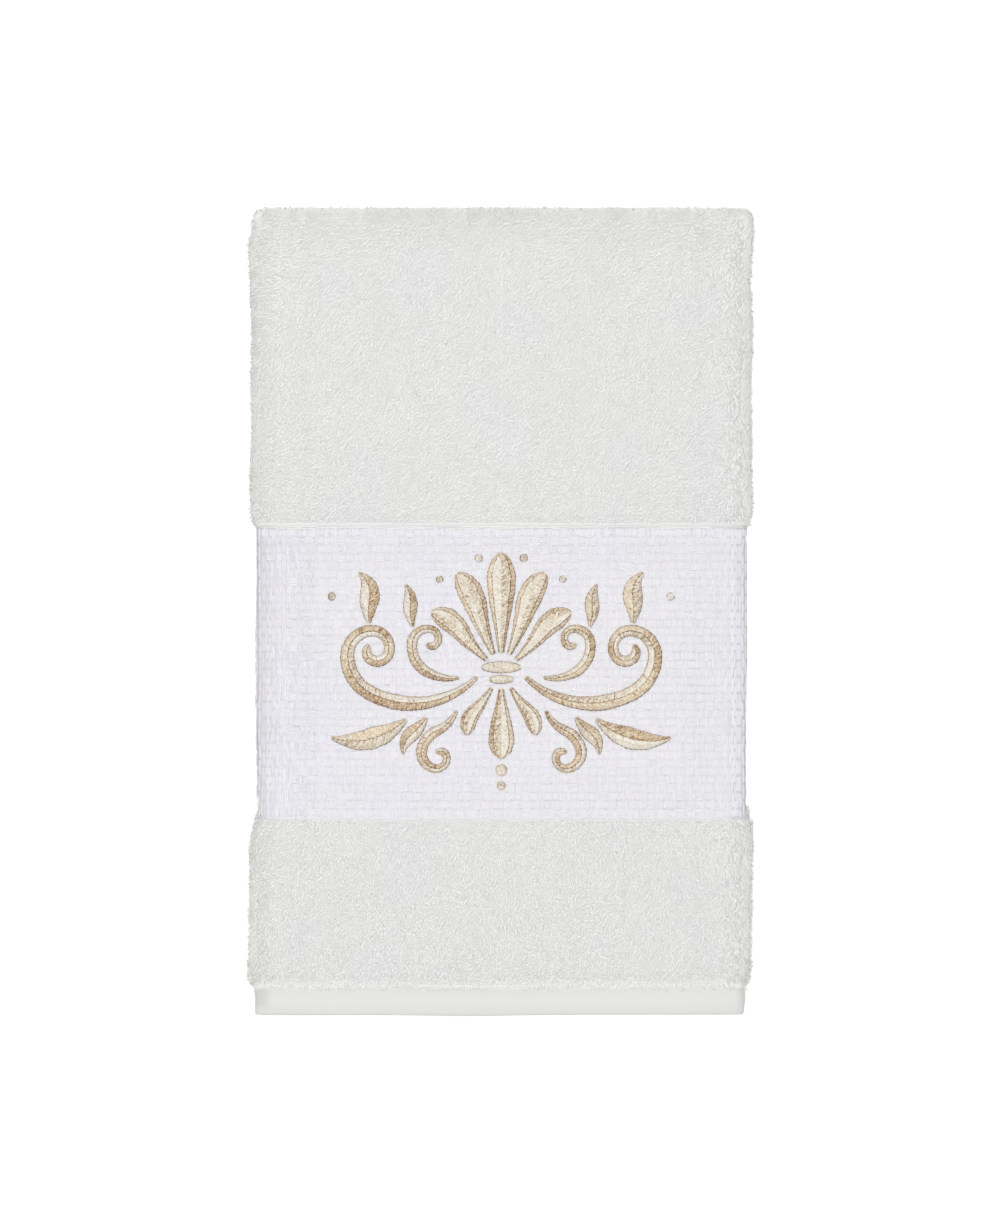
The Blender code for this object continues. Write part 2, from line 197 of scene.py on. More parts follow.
def middle(q, v):
    """Points of the cloth's middle surface."""
    q, v = np.broadcast_arrays(np.asarray(q, float), np.asarray(v, float))
    turned = np.clip((v - FRONT_RUN) / TOP_RUN, 0.0, 1.0)
    behind = v > FRONT_RUN + TOP_RUN
    on_top = (turned > 0.0) & ~behind
    along = np.where(behind, WHOLE_RUN - v, np.where(on_top, TOP_ALONG, v))
    x, drop = across_fold(q, along, BACK_INSET * smooth(turned))
    radius, top_low, shift = top_turn(x)

    half_width = fold_line(along, q > 0)
    opposite = np.maximum(along - BACK_SHORTER, 0.0)
    front_high = layer_heights(x, along, opposite, half_width)[0]
    back_low = layer_heights(x, along, along, half_width)[1]
    skew = HEM_SKEW * smooth(0.5 + x / LENGTH)
    sag = HEM_SAG * smooth(1.0 - np.abs(x - SAG_AT) / SAG_REACH)
    front_y = -LENGTH / 2.0 + along + (skew - sag) * smooth(1.0 - along / SKEW_REACH)
    front_y = front_y + shift * smooth(1.0 - (FRONT_RUN - along) / CORNER_BLEND)
    back_y = -LENGTH / 2.0 + BACK_SHORTER + along
    back_y = back_y + shift * smooth(1.0 - (BACK_RUN - along) / CORNER_BLEND)

    angle = math.pi * (0.5 - turned)
    top_y = -LENGTH / 2.0 + FRONT_RUN + shift + (radius - drop) * np.cos(angle)
    top_z = top_low + radius + (radius - drop) * np.sin(angle)
    y = np.where(behind, back_y, np.where(on_top, top_y, front_y))
    z = np.where(behind, back_low + drop, np.where(on_top, top_z, front_high - drop))
    return np.stack([x, y, z], axis=-1)


def outward(q, v):
    """Directions away from the cloth on its outer face."""
    step = 0.3 * MM
    across = middle(q + step, v) - middle(q - step, v)
    along = middle(q, v + step) - middle(q, v - step)
    normal = np.cross(across, along)
    return normal / np.linalg.norm(normal, axis=-1, keepdims=True)


def along_of(v):
    """Distance from the nearer hem, the same all over the top fold."""
    behind = v >= FRONT_RUN + TOP_RUN
    return np.where(v <= FRONT_RUN, v, np.where(behind, WHOLE_RUN - v, TOP_ALONG))


NOISE_COLUMNS, NOISE_ROWS = 64, 128     # of random values, which repeat further out


def noise(q, v, cell, seed):
    """Smooth noise from -1 to 1 with features about as wide as cell."""
    table = np.random.default_rng(seed).uniform(-1.0, 1.0, (NOISE_COLUMNS, NOISE_ROWS))
    left, low = np.floor(q / cell), np.floor(v / cell)
    share_q, share_v = smooth(q / cell - left), smooth(v / cell - low)
    column, row = left.astype(int) % NOISE_COLUMNS, low.astype(int) % NOISE_ROWS
    next_column, next_row = (column + 1) % NOISE_COLUMNS, (row + 1) % NOISE_ROWS
    lower = table[column, row] * (1.0 - share_q) + table[next_column, row] * share_q
    upper = table[column, next_row] * (1.0 - share_q) + table[next_column, next_row] * share_q
    return lower * (1.0 - share_v) + upper * share_v


# ---- Materials ----

COOL_TINT = (0.995, 0.995, 1.005)
WARM_TINT = (1.0, 1.0, 0.99)
YARN_FIBRES = 2600.0            # scales of noise, as features in about a metre
CLOTH_FIBRES = 1800.0
PLIES = 1300.0
COTTON_SHINE = {"Specular IOR Level": 0.25, "Sheen Weight": 0.08, "Sheen Roughness": 0.6}


def feed(tree, node, inputs):
    """Sets a node's inputs. Each is a value or the socket that feeds it."""
    for name, value in inputs.items():
        if isinstance(value, bpy.types.NodeSocket):
            tree.links.new(value, node.inputs[name])
        else:
            node.inputs[name].default_value = value


def add(tree, kind, inputs=None, **settings):
    """A new node with its settings and inputs."""
    made = tree.nodes.new("ShaderNode" + kind)
    for name, value in settings.items():
        setattr(made, name, value)
    feed(tree, made, inputs or {})
    return made


def ramp(tree, factor, stops):
    """A colour ramp with stops of (place, colour)."""
    made = add(tree, "ValToRGB", {"Fac": factor})
    elements = made.color_ramp.elements
    for index, (place, colour) in enumerate(stops):
        element = elements[index] if index < 2 else elements.new(place)
        element.position = place
        element.color = (*colour, 1.0)
    return made.outputs["Color"]


def scaled(tree, factor, low, high):
    """A factor from 0 to 1 moved to the range from low to high."""
    made = add(tree, "MapRange", {"Value": factor, "To Min": low, "To Max": high})
    return made.outputs["Result"]


def summed(tree, parts):
    """The sum of factors, each times its share."""
    total = None
    for factor, share in parts:
        term = add(tree, "Math", {0: factor, 1: share}, operation="MULTIPLY").outputs[0]
        if total is not None:
            term = add(tree, "Math", {0: total, 1: term}, operation="ADD").outputs[0]
        total = term
    return total


def new_look(name):
    """An empty material, its tree, its shader and the object's coordinates."""
    material = bpy.data.materials.new(name)
    material.use_nodes = True
    tree = material.node_tree
    shader = tree.nodes["Principled BSDF"]
    return material, tree, shader, add(tree, "TexCoord").outputs["Object"]


def noise_node(tree, place, scale, detail=2.0):
    """A noise texture's factor."""
    inputs = {"Vector": place, "Scale": scale, "Detail": detail}
    return add(tree, "TexNoise", inputs).outputs["Fac"]


Worn = namedtuple("Worn", "axis clean worn colour")     # painted light and shade: a lighter or darker colour, mixed in along an axis over a span of places, in mm


def tinted(tree, place, colour, worn):
    """The colour, drifting a little in hue over the cloth, with painted light and shade mixed in at given
    places.
    """
    drift = noise_node(tree, place, 30.0, 1.0)
    hue = ramp(tree, drift, ((0.35, COOL_TINT), (0.65, WARM_TINT)))
    mixed = add(tree, "MixRGB", {"Fac": 1.0, "Color1": colour, "Color2": hue}, blend_type="MULTIPLY")
    colour = mixed.outputs["Color"]
    apart = add(tree, "SeparateXYZ", {"Vector": place})
    for row in worn:
        share = add(tree, "MapRange", {"Value": apart.outputs[row.axis], "From Min": row.clean * MM,
                                       "From Max": row.worn * MM}, interpolation_type="SMOOTHSTEP")
        mixed = add(tree, "MixRGB", {"Fac": share.outputs["Result"], "Color1": colour,
                                     "Color2": (*row.colour, 1.0)})
        colour = mixed.outputs["Color"]
    return colour


def bumped(tree, height, strength, relief):
    """Normals of a fine relief, given in mm."""
    inputs = {"Height": height, "Strength": strength, "Distance": relief * MM}
    return add(tree, "Bump", inputs).outputs["Normal"]


def tone_of(tree):
    """The tone that each strand carries."""
    return add(tree, "Attribute", attribute_name="tone").outputs["Fac"]


def cotton(name, dark, light, relief=0.06, worn=()):
    """Spun cotton: each strand has its own tone, and fine fibres roughen it."""
    material, tree, shader, place = new_look(name)
    fibres = noise_node(tree, place, YARN_FIBRES, 3.0)
    patches = noise_node(tree, place, 38.0)
    factor = summed(tree, ((tone_of(tree), 0.62), (fibres, 0.3), (patches, 0.05)))
    colour = ramp(tree, factor, ((0.15, dark), (0.85, light)))
    feed(tree, shader, {
        "Base Color": tinted(tree, place, colour, worn),
        "Roughness": scaled(tree, fibres, 0.82, 1.0),
        "Normal": bumped(tree, fibres, 0.6, relief),
        **COTTON_SHINE,
    })
    return material


def woven(name, dark, light, thread=0.62, worn=()):
    """Flat cloth: two sets of thin threads cross, with soft patches of wear."""
    material, tree, shader, place = new_look(name)
    waves = {"Vector": place, "Scale": math.pi / (10.0 * thread * MM), "Distortion": 0.6,
             "Detail": 1.0, "Detail Scale": 1.0}
    warp, weft = (add(tree, "TexWave", waves, bands_direction=way).outputs["Fac"] for way in "XY")
    fibres = noise_node(tree, place, CLOTH_FIBRES, 3.0)
    patches = noise_node(tree, place, 45.0)
    factor = summed(tree, ((warp, 0.25), (weft, 0.2), (fibres, 0.3), (patches, 0.25)))
    colour = ramp(tree, factor, ((0.2, dark), (0.8, light)))
    feed(tree, shader, {
        "Base Color": tinted(tree, place, colour, worn),
        "Roughness": scaled(tree, fibres, 0.84, 1.0),
        "Normal": bumped(tree, factor, 0.7, 0.05),
        **COTTON_SHINE,
    })
    return material


def satin(name, stops):
    """Rayon embroidery thread: strands and their plies differ in tone and catch the light."""
    material, tree, shader, place = new_look(name)
    plies = noise_node(tree, place, PLIES, 1.0)
    twist = add(tree, "MapRange", {"Value": plies, "From Min": 0.32, "From Max": 0.68})
    factor = summed(tree, ((tone_of(tree), 0.6), (twist.outputs["Result"], 0.4)))
    feed(tree, shader, {
        "Base Color": ramp(tree, factor, stops),
        "Roughness": scaled(tree, plies, 0.26, 0.48),
        "Normal": bumped(tree, plies, 0.5, 0.05),
        "Specular IOR Level": 0.6,
    })
    return material


# ---- Strands of yarn ----

RING = ((1.0, -0.45), (0.0, 1.0), (-1.0, -0.45))    # a strand's section: (aside, up)
FLOOR_CLEAR = 0.02 * MM         # no strand comes closer to the floor


def placed(name, data, location=(0.0, 0.0, 0.0)):
    """A new object of the scene."""
    made = bpy.data.objects.new(name, data)
    made.location = location
    bpy.context.scene.collection.objects.link(made)
    return made


def strand_faces(steps):
    """The triangles of one strand with this many points, as corners of its own list."""
    count = len(RING)
    tip = 1 + (steps - 2) * count
    faces = []
    for index in range(count):
        after = (index + 1) % count
        faces.append((0, 1 + after, 1 + index))
        for ring in range(steps - 3):
            low = 1 + ring * count
            faces.append((low + index, low + after, low + count + after))
            faces.append((low + index, low + count + after, low + count + index))
        faces.append((tip, tip - count + index, tip - count + after))
    return np.array(faces)


def strands(name, path, up, half_width, half_height, tone, material):
    """One mesh of many short strands, each a closed spindle along its row of path."""
    count, steps = path.shape[:2]
    along = np.gradient(path, axis=1)
    aside = np.cross(along, up)
    aside /= np.linalg.norm(aside, axis=-1, keepdims=True)
    rise = np.cross(aside, along)
    rise /= np.linalg.norm(rise, axis=-1, keepdims=True)
    rings = path[:, 1:-1, None] + np.zeros((1, 1, len(RING), 1))
    for index, (out, high) in enumerate(RING):
        rings[:, :, index] += out * aside[:, 1:-1] * half_width[:, None, None]
        rings[:, :, index] += high * rise[:, 1:-1] * half_height[:, None, None]
    points = np.concatenate([path[:, :1], rings.reshape(count, -1, 3), path[:, -1:]], axis=1)
    each = points.shape[1]
    faces = strand_faces(steps)[None] + (np.arange(count) * each)[:, None, None]
    points = points.reshape(-1, 3)
    points[:, 2] = np.maximum(points[:, 2], FLOOR_CLEAR)

    mesh = bpy.data.meshes.new(name)
    mesh.vertices.add(len(points))
    mesh.vertices.foreach_set("co", points.ravel())
    mesh.loops.add(faces.size)
    mesh.loops.foreach_set("vertex_index", faces.ravel())
    mesh.polygons.add(faces.size // 3)
    mesh.polygons.foreach_set("loop_start", np.arange(0, faces.size, 3))
    mesh.update(calc_edges=True)
    mesh.shade_flat()
    tones = mesh.attributes.new("tone", "FLOAT", "POINT")
    tones.data.foreach_set("value", np.repeat(np.clip(tone, 0.0, 1.0), each))
    mesh.materials.append(material)
    return placed(name, mesh)


def on_cloth(q, v, height):
    """Points at heights above the cloth's middle surface, with the directions away from it."""
    up = outward(q, v)
    return middle(q, v) + up * height[..., None], up


# ---- The cloth ----

TERRY_GROUND = 3.2 * MM         # the cloth that the loops stand on
BORDER_GROUND = 1.8 * MM        # the cloth under the border's raised threads
ROW_STEP = 5.5 * MM
STEP_WIDTH = 0.8 * MM           # of the change between two thicknesses
HEM_ROUND = ((0.0, 0.42), (0.25, 0.68), (0.6, 0.87), (1.1, 0.97), (1.8, 1.0))   # mm, share of thickness
TOP_STEPS = 14                  # rows of faces round the top fold
PANEL_STATIONS = (*np.linspace(0, 0.85, 13), 0.9, 0.95)     # 0 to 1 is the flat half panel,
FOLD_STATIONS = np.linspace(1, 2, 11)                       # 1 to 2 the side fold
FLAP_STATIONS = (2.06, 2.15, 2.4, 2.7, 2.96, 3.0)           # and 2 to 3 the flap behind


def ground_thickness(along):
    """Thickness of the bare cloth: the hem is turned over, and its end is round."""
    terry = 1.0 - np.clip(from_terry(along) / STEP_WIDTH, 0.0, 1.0)
    hem = along < LOWER_TERRY.start * MM
    plain = np.where(hem, GROUND_THICK, BORDER_GROUND)
    places, shares = np.array(HEM_ROUND).T
    return (plain + (TERRY_GROUND - plain) * terry) * np.interp(along, places * MM, shares)


def half_rows(run):
    """The rows of one half, from its hem to the top fold."""
    stops = [place * MM for place, _ in HEM_ROUND]
    for row in SECTIONS[1:]:
        stops += [row.start * MM - STEP_WIDTH, row.start * MM, row.start * MM + STEP_WIDTH]
    stops.append(run)
    rows = []
    for low, high in zip(stops, stops[1:]):
        steps = max(round((high - low) / ROW_STEP), 1)
        rows += [low + (high - low) * step / steps for step in range(steps)]
    return np.array(rows)


def cloth_grid():
    """Each row's v and its place along the cloth, and the columns' stations from -3 to 3."""
    front, back = half_rows(FRONT_RUN), half_rows(BACK_RUN)
    top = FRONT_RUN + TOP_RUN * np.arange(TOP_STEPS + 1) / TOP_STEPS
    v = np.concatenate([front, top, (WHOLE_RUN - back)[::-1]])
    half = np.concatenate([PANEL_STATIONS, FOLD_STATIONS, FLAP_STATIONS])
    return v, along_of(v), np.concatenate([-half[:0:-1], half])


def make_cloth(looks):
    """The folded sheet, thickened row by row. The looks are those of terry, hem and border."""
    v, along, stations = cloth_grid()
    side = stations[None, :] > 0
    reach = np.abs(stations)[None, :]
    along = along[:, None] + 0.0 * reach
    inset = BACK_INSET * smooth((v[:, None] - FRONT_RUN) / TOP_RUN)
    radius = turn_radius(along)
    panel = flat_panel(along, side, inset)
    wander = 1.0 + np.sin(WANDER_RATE * along + np.where(side, 1.0, -1.0))
    edge = (FLAP_GAP + FLAP_WANDER * wander) / 2.0
    q = panel * np.minimum(reach, 1.0)
    q = q + math.pi * radius * np.clip(reach - 1.0, 0.0, 1.0)
    q = q + (panel - edge) * np.clip(reach - 2.0, 0.0, 1.0)
    points = middle(np.sign(stations)[None, :] * q, v[:, None] + 0.0 * q)
    rows, columns = q.shape
    corner = (np.arange(rows - 1)[:, None] * columns + np.arange(columns - 1)).ravel()
    quads = np.stack([corner, corner + 1, corner + columns + 1, corner + columns], axis=1)
    mesh = bpy.data.meshes.new("cloth")
    mesh.from_pydata(points.reshape(-1, 3).tolist(), [], quads.tolist())
    mesh.shade_smooth()
    for look in looks:
        mesh.materials.append(look)
    halfway = (along[:-1, 0] + along[1:, 0]) / 2.0
    slot = np.where(from_terry(halfway) <= 0.0, 0, np.where(halfway < HEM.end * MM, 1, 2))
    mesh.polygons.foreach_set("material_index", np.repeat(slot, columns - 1))
    cloth = placed("cloth", mesh)
    group = cloth.vertex_groups.new(name="thickness")
    for row, thick in enumerate(ground_thickness(along[:, 0]) / TERRY_GROUND):
        group.add(range(row * columns, (row + 1) * columns), float(thick), "REPLACE")
    solid = cloth.modifiers.new("thickness", "SOLIDIFY")
    solid.thickness = TERRY_GROUND
    solid.offset = 0.0
    solid.use_even_offset = True
    solid.vertex_group = "thickness"
    return cloth


# ---- Terry loops ----

LOOP_PITCH_Q = 0.68 * MM
LOOP_PITCH_V = 0.88 * MM
LOOP_JITTER = (0.1, 0.9)            # where in its pitch across a loop stands
LOOP_LENGTH = 2.45 * MM
LOOP_HALF_WIDTH = 0.26 * MM
LOOP_HALF_HEIGHT = 0.25 * MM
LOOP_LENGTHS = (0.82, 1.18)         # times that, from loop to loop
LOOP_WIDTHS = (0.85, 1.12)
LOOP_TONE = 0.1                     # how much they differ in tone
LOOP_UNEVEN = 0.075                 # mm that one loop stands higher or lower than the next
TALL_FROM = 0.985                   # past this share of the loops, they are tall
TALL_RISE = 0.5                     # mm
LoopPoint = namedtuple("LoopPoint", "share height sway")
LOOP_SHAPE = (                      # along a loop: share of its length, mm, share of its own rise
    LoopPoint(-0.5, 1.25, 0.0),
    LoopPoint(-0.05, 1.93, 1.0),
    LoopPoint(0.5, 1.45, 0.5),
)
Lean = namedtuple("Lean", "v angle")
LEANS = (                           # which way the loops lie: mm along, degrees from straight across
    Lean(13.0, 84.0),
    Lean(90.0, 72.0),
    Lean(226.0, 57.0),
    Lean(325.0, 60.0),
    Lean(350.0, 42.0),
    Lean(372.0, 22.0),
)
LEAN_FIELD = math.radians(20.0)     # how far combed patches turn from that
LEAN_CELL = 24.0 * MM               # width of such a patch
SMALL_LEAN_SHARE = 0.2              # patches in the patches turn less
SMALL_LEAN_CELL = 7.0 * MM
LEAN_JITTER = math.radians(11.0)
RIGHT_LEAN = math.radians(30.0)     # beside the right fold they stand more along it
LEFT_LEAN = math.radians(-26.0)     # and beside the left fold, near the top, less
LEFT_LEAN_FROM = 280.0 * MM
LEFT_LEAN_RUN = 25.0 * MM
SIDE_LEAN_FROM = 96.0 * MM
SIDE_LEAN_RUN = 14.0 * MM
LEFT_UNEVEN, RIGHT_UNEVEN = 0.06, 0.46      # more difference in tone between loops beside the folds
UNEVEN_RISE = 0.5                   # mm of difference in height for 1 of that
SIDE_WAVE = 0.55                    # mm that tufts stand out at the side folds
SIDE_TUFT = 3.4 * MM                # width of such a tuft
SIDE_TUFT_RUN = 2.0 * MM            # they grow to their height over this way round the fold
TOP_WAVE = 0.25                     # the same at the top fold
TOP_TUFT = 3.8 * MM
TOP_TUFT_RUN = 6.0 * MM
WAVE_SHIFT = 0.4                    # added to the noise that makes tufts, which counts above 0 only
PILE_OVER_HEM = -1.9                # mm from the terry's edge to its last loops
HEM_EDGE_WAVE = 1.2
HEM_EDGE_CELL = 3.6 * MM
HEM_DROP = 0.3                      # mm that the pile lies lower beside the hem
HEM_DROP_TO = 17.0                  # mm along
HEM_DROP_RUN = 3.0                  # mm over which it drops

Bulge = namedtuple("Bulge", "q v rise reach")
BULGES = (                          # places where the pile stands out or lies flat, in mm
    Bulge(-115.4, 357.0, 1.0, 3.2),
    Bulge(-112.0, 370.0, -0.2, 7.0),
    Bulge(113.6, 88.3, 1.7, 3.6),
)

Patch = namedtuple("Patch", "name q0 q1 v0 v1 density size seed keep height")   # q, v and height in mm


def lattice(patch):
    """Jittered places in a patch of cloth, in mm."""
    random = np.random.default_rng(patch.seed)
    spread = 1.0 / math.sqrt(patch.density)
    pitch_q, pitch_v = LOOP_PITCH_Q * spread, LOOP_PITCH_V * spread
    columns = int((patch.q1 - patch.q0) * MM / pitch_q)
    rows = int((patch.v1 - patch.v0) * MM / pitch_v)
    column, row = np.meshgrid(np.arange(columns), np.arange(rows))
    jitter = random.uniform(*LOOP_JITTER, column.shape)
    q = patch.q0 * MM + (column + 0.5 * (row % 2) + jitter) * pitch_q
    v = patch.v0 * MM + (row + random.uniform(0.0, 1.0, row.shape)) * pitch_v
    return q.ravel(), v.ravel(), random


def lean(q, v, random):
    """Which way each loop lies: combed patches, with some disorder."""
    places, angles = np.array(LEANS).T
    angle = np.radians(np.interp(v / MM, places, angles))
    angle += RIGHT_LEAN * smooth((q - SIDE_LEAN_FROM) / SIDE_LEAN_RUN)
    upper = smooth((v - LEFT_LEAN_FROM) / LEFT_LEAN_RUN)
    angle += LEFT_LEAN * upper * smooth((-q - SIDE_LEAN_FROM) / SIDE_LEAN_RUN)
    small = SMALL_LEAN_SHARE * LEAN_FIELD * noise(q, v, SMALL_LEAN_CELL, 4)
    angle += LEAN_FIELD * noise(q, v, LEAN_CELL, 3) + small
    return angle + random.normal(0.0, LEAN_JITTER, q.shape)


def tufts(q, v):
    """How far the pile stands out in tufts at the folds and in the bulges, in mm."""
    aside = smooth((np.abs(q) - flat_panel(along_of(v), q > 0, 0.0)) / SIDE_TUFT_RUN)
    over = smooth((v - FRONT_RUN) / TOP_TUFT_RUN)
    sides = SIDE_WAVE * aside * np.maximum(noise(q * 0.0, v, SIDE_TUFT, 9) + WAVE_SHIFT, 0.0)
    rise = sides - HEM_DROP * smooth((HEM_DROP_TO - v / MM) / HEM_DROP_RUN)
    rise = rise + TOP_WAVE * over * np.maximum(noise(q, v * 0.0, TOP_TUFT, 10) + WAVE_SHIFT, 0.0)
    for row in BULGES:
        away = np.hypot(q / MM - row.q, v / MM - row.v)
        rise = rise + row.rise * smooth(1.0 - away / row.reach)
    return rise


def terry_loops(patch, material):
    """Loops of pile in a patch, where its keep has them."""
    q, v, random = lattice(patch)
    chosen = patch.keep(q, v)
    q, v = q[chosen], v[chosen]
    angle = lean(q, v, random)
    length = patch.size * LOOP_LENGTH * random.uniform(*LOOP_LENGTHS, q.shape)
    beside = smooth((np.abs(q) - SIDE_LEAN_FROM) / SIDE_LEAN_RUN) * np.where(q > 0, RIGHT_UNEVEN, LEFT_UNEVEN)
    stand = (LOOP_UNEVEN + UNEVEN_RISE * beside) * random.normal(size=q.shape) + tufts(q, v)
    stand += TALL_RISE * (random.uniform(size=q.shape) > TALL_FROM) + patch.height
    shares, heights, sway = np.array(LOOP_SHAPE).T
    path_q = q[:, None] + shares * length[:, None] * np.cos(angle)[:, None]
    path_v = v[:, None] + shares * length[:, None] * np.sin(angle)[:, None]
    path, up = on_cloth(path_q, path_v, (heights + stand[:, None] * sway) * MM)
    width = patch.size * random.uniform(*LOOP_WIDTHS, q.shape)
    tone = 0.5 + (LOOP_TONE + beside) * random.normal(size=q.shape)
    return strands(patch.name, path, up, LOOP_HALF_WIDTH * width, LOOP_HALF_HEIGHT * width, tone, material)


def everywhere(q, v):
    """Chooses all places."""
    return np.full(q.shape, True)


def front_reach(turn):
    """Chooses places on the panel and on the side folds up to this turn, in radians."""
    def keep(q, v):
        along = along_of(v)
        limit = flat_panel(along, q > 0, 0.0) + turn * turn_radius(along)
        ragged = LOWER_TERRY.start + PILE_OVER_HEM + HEM_EDGE_WAVE * noise(q, v, HEM_EDGE_CELL, 8)
        return (np.abs(q) < limit) & (along > ragged * MM)
    return keep


def side_only(turn, inner):
    """Chooses places on the side folds, from a little inside the panel."""
    def keep(q, v):
        along = along_of(v)
        panel = flat_panel(along, q > 0, 0.0)
        off = np.abs(q) - panel
        return (off > -inner) & (off < turn * turn_radius(along))
    return keep


EDGE_LOOP_STEP = 1.8                # mm between loops that stand out at the folds
EDGE_LOOP_HEIGHTS = (1.2, 1.9)      # mm, of the two points at such a loop's foot
EDGE_LOOP_REACH = (0.3, 1.3)        # mm that its end stands above the pile
EDGE_LOOP_PLACES = (0.0, 0.35, 0.7, 1.0)    # mm along it, times its stretch
EDGE_LOOP_STRETCH = (0.5, 1.5)
EDGE_LOOP_HALF_WIDTHS = (0.26, 0.42)        # mm
# painted shade: those loops take the darker part of the tone range
EDGE_LOOP_TONES = (0.0, 0.6)
SIDE_TURNS = (0.9, 1.9)             # where they stand: radians round the side folds,
TOP_TURNS = (0.35, 0.6)             # shares of the way over the top fold,
TOP_WIDTH = 210.0                   # in the middle of it, in mm,
CORNER_SIDE_TURNS = (-1.2, 1.4)     # and both at the corner
CORNER_TOP_TURNS = (0.2, 0.6)
CORNER_LOOPS = 26


def edge_loops(name, material, seed):
    """Single loops that stand out at the side folds, the top fold and the left corner."""
    random = np.random.default_rng(seed)
    q, v = [], []
    for side in (-1.0, 1.0):
        for row in (LOWER_TERRY, UPPER_TERRY):
            count = int((min(row.end, FRONT_RUN / MM) - row.start) / EDGE_LOOP_STEP)
            along = (row.start + EDGE_LOOP_STEP * (np.arange(count) + random.uniform(0.0, 1.0, count))) * MM
            turn = random.uniform(*SIDE_TURNS, count)
            q.append(side * (flat_panel(along, side > 0, 0.0) + turn * turn_radius(along)))
            v.append(along)
    count = int(TOP_WIDTH / EDGE_LOOP_STEP)
    place = EDGE_LOOP_STEP * (np.arange(count) + random.uniform(0.0, 1.0, count))
    q.append((place - TOP_WIDTH / 2.0) * MM)
    v.append(FRONT_RUN + TOP_RUN * random.uniform(*TOP_TURNS, count))
    corner = np.full(CORNER_LOOPS, TOP_ALONG)
    turn = random.uniform(*CORNER_SIDE_TURNS, CORNER_LOOPS)
    q.append(-flat_panel(corner, False, 0.0) - turn * turn_radius(corner))
    v.append(FRONT_RUN + TOP_RUN * random.uniform(*CORNER_TOP_TURNS, CORNER_LOOPS))
    q, v = np.concatenate(q), np.concatenate(v)

    ahead = np.array(EDGE_LOOP_PLACES) * random.uniform(*EDGE_LOOP_STRETCH, q.shape)[:, None] * MM
    angle = random.uniform(0.0, 2.0 * math.pi, q.shape)[:, None]
    reach = random.uniform(*EDGE_LOOP_REACH, q.shape)
    top = LOOP_SHAPE[1].height + LOOP_HALF_HEIGHT / MM
    low, high = (np.full_like(reach, height) for height in EDGE_LOOP_HEIGHTS)
    heights = np.stack([low, high, top + 0.5 * reach, top + reach], axis=1) * MM
    path, up = on_cloth(q[:, None] + ahead * np.cos(angle), v[:, None] + ahead * np.sin(angle), heights)
    width = random.uniform(*EDGE_LOOP_HALF_WIDTHS, q.shape) * MM
    tone = random.uniform(*EDGE_LOOP_TONES, q.shape)
    return strands(name, path, up, width, 0.8 * width, tone, material)


# ---- The border's basket weave ----

WEAVE_WIDTH = 242.0 * MM        # threads are laid out over this, and those in reach are kept
WEAVE_INSETS = (1.3, 1.4)       # mm from the border's low and high edge to the weave
CELL_Q = 4.44 * MM              # cells of threads across and of threads along take turns
CELL_V = 3.81 * MM
FLOATS = 4                      # threads in a cell
FloatPoint = namedtuple("FloatPoint", "share height long_share long_height")
FLOAT_SHAPE = (                 # along a short or a long thread on top: share of its length, mm
    FloatPoint(-0.58, 0.88, -0.50, 0.62),
    FloatPoint(-0.26, 1.12, -0.40, 1.10),
    FloatPoint(0.26, 1.12, 0.40, 1.10),
    FloatPoint(0.58, 0.88, 0.50, 0.62),
)
THREAD_UNEVEN = 0.045           # mm that one thread stands higher or lower than the next
THREAD_SHIFT = 0.16 * MM        # how far its ends stray along the cloth,
OPEN_SHIFT = 0.2                # times this where the weave opens up
ACROSS_SHIFT = 0.4              # and this for threads across
THREAD_STRAY = 0.1 * MM         # and how far across the cloth
THREAD_LENGTHS = (0.92, 1.04)   # times a thread's length and width, from thread to thread
THREAD_WIDTHS = (1.0, 1.24)
THREAD_SKEW = 0.03
THREAD_TONE = 0.11              # how much threads differ in tone
ALONG_LIFT = 0.02               # mm that threads along lie higher, and threads across lower
LONGER_SHARE = 0.12             # of the threads along, which run on under their neighbours
LONGER = 1.7                    # times as far
TIE_SHARE = 0.8                 # of the cells that have a thin short thread across at their end
TIE_LENGTHS = (0.35, 0.85)      # as shares of the cell
TIE_STRAY = 0.4                 # how far it is from the cell's middle, as a share of the cell
TIE_HALF_WIDTH = 0.26 * MM
TIE_LIFT = 0.1                  # mm above the ends that it covers
TIE_TONE = 0.17
RELIEF_ALONG = 0.24             # half height of threads along, as a share of the half width
RELIEF_ACROSS = 0.22
TIE_RELIEF = 0.8
COARSE = 2.1                    # times that height beside the left side fold
COARSE_FROM = 78.0 * MM
COARSE_RUN = 18.0 * MM
RUN_ON_SHARE = 0.5              # of the cells across, whose threads run along instead
NUB_SHARE = 0.06                # of the threads along, which stand up as nubs, lightened by a painted highlight
NUB_HEIGHT = 0.24               # mm
NUB_LENGTH = 0.45               # share of a thread's length
# painted highlight: how much lighter the nubs are
NUB_HIGHLIGHT_TONE = 0.4
LEFT_OPEN = 98.0 * MM           # outside these places all threads run along, over two cells
RIGHT_OPEN = 102.0 * MM
SIDE_RUN = 13.0 * MM            # before the side folds the weave opens up
RIB_LIFT = 0.2                  # mm that one thread of each cell stands out there
# painted highlight: how much lighter that standing thread is
RIB_HIGHLIGHT_TONE = 0.4
PIT_DROP = 0.16                 # mm that the threads lie lower whose ends leave small pits
PIT_SHADE_TONES = (0.1, 0.6)          # painted shade: by which these are darker
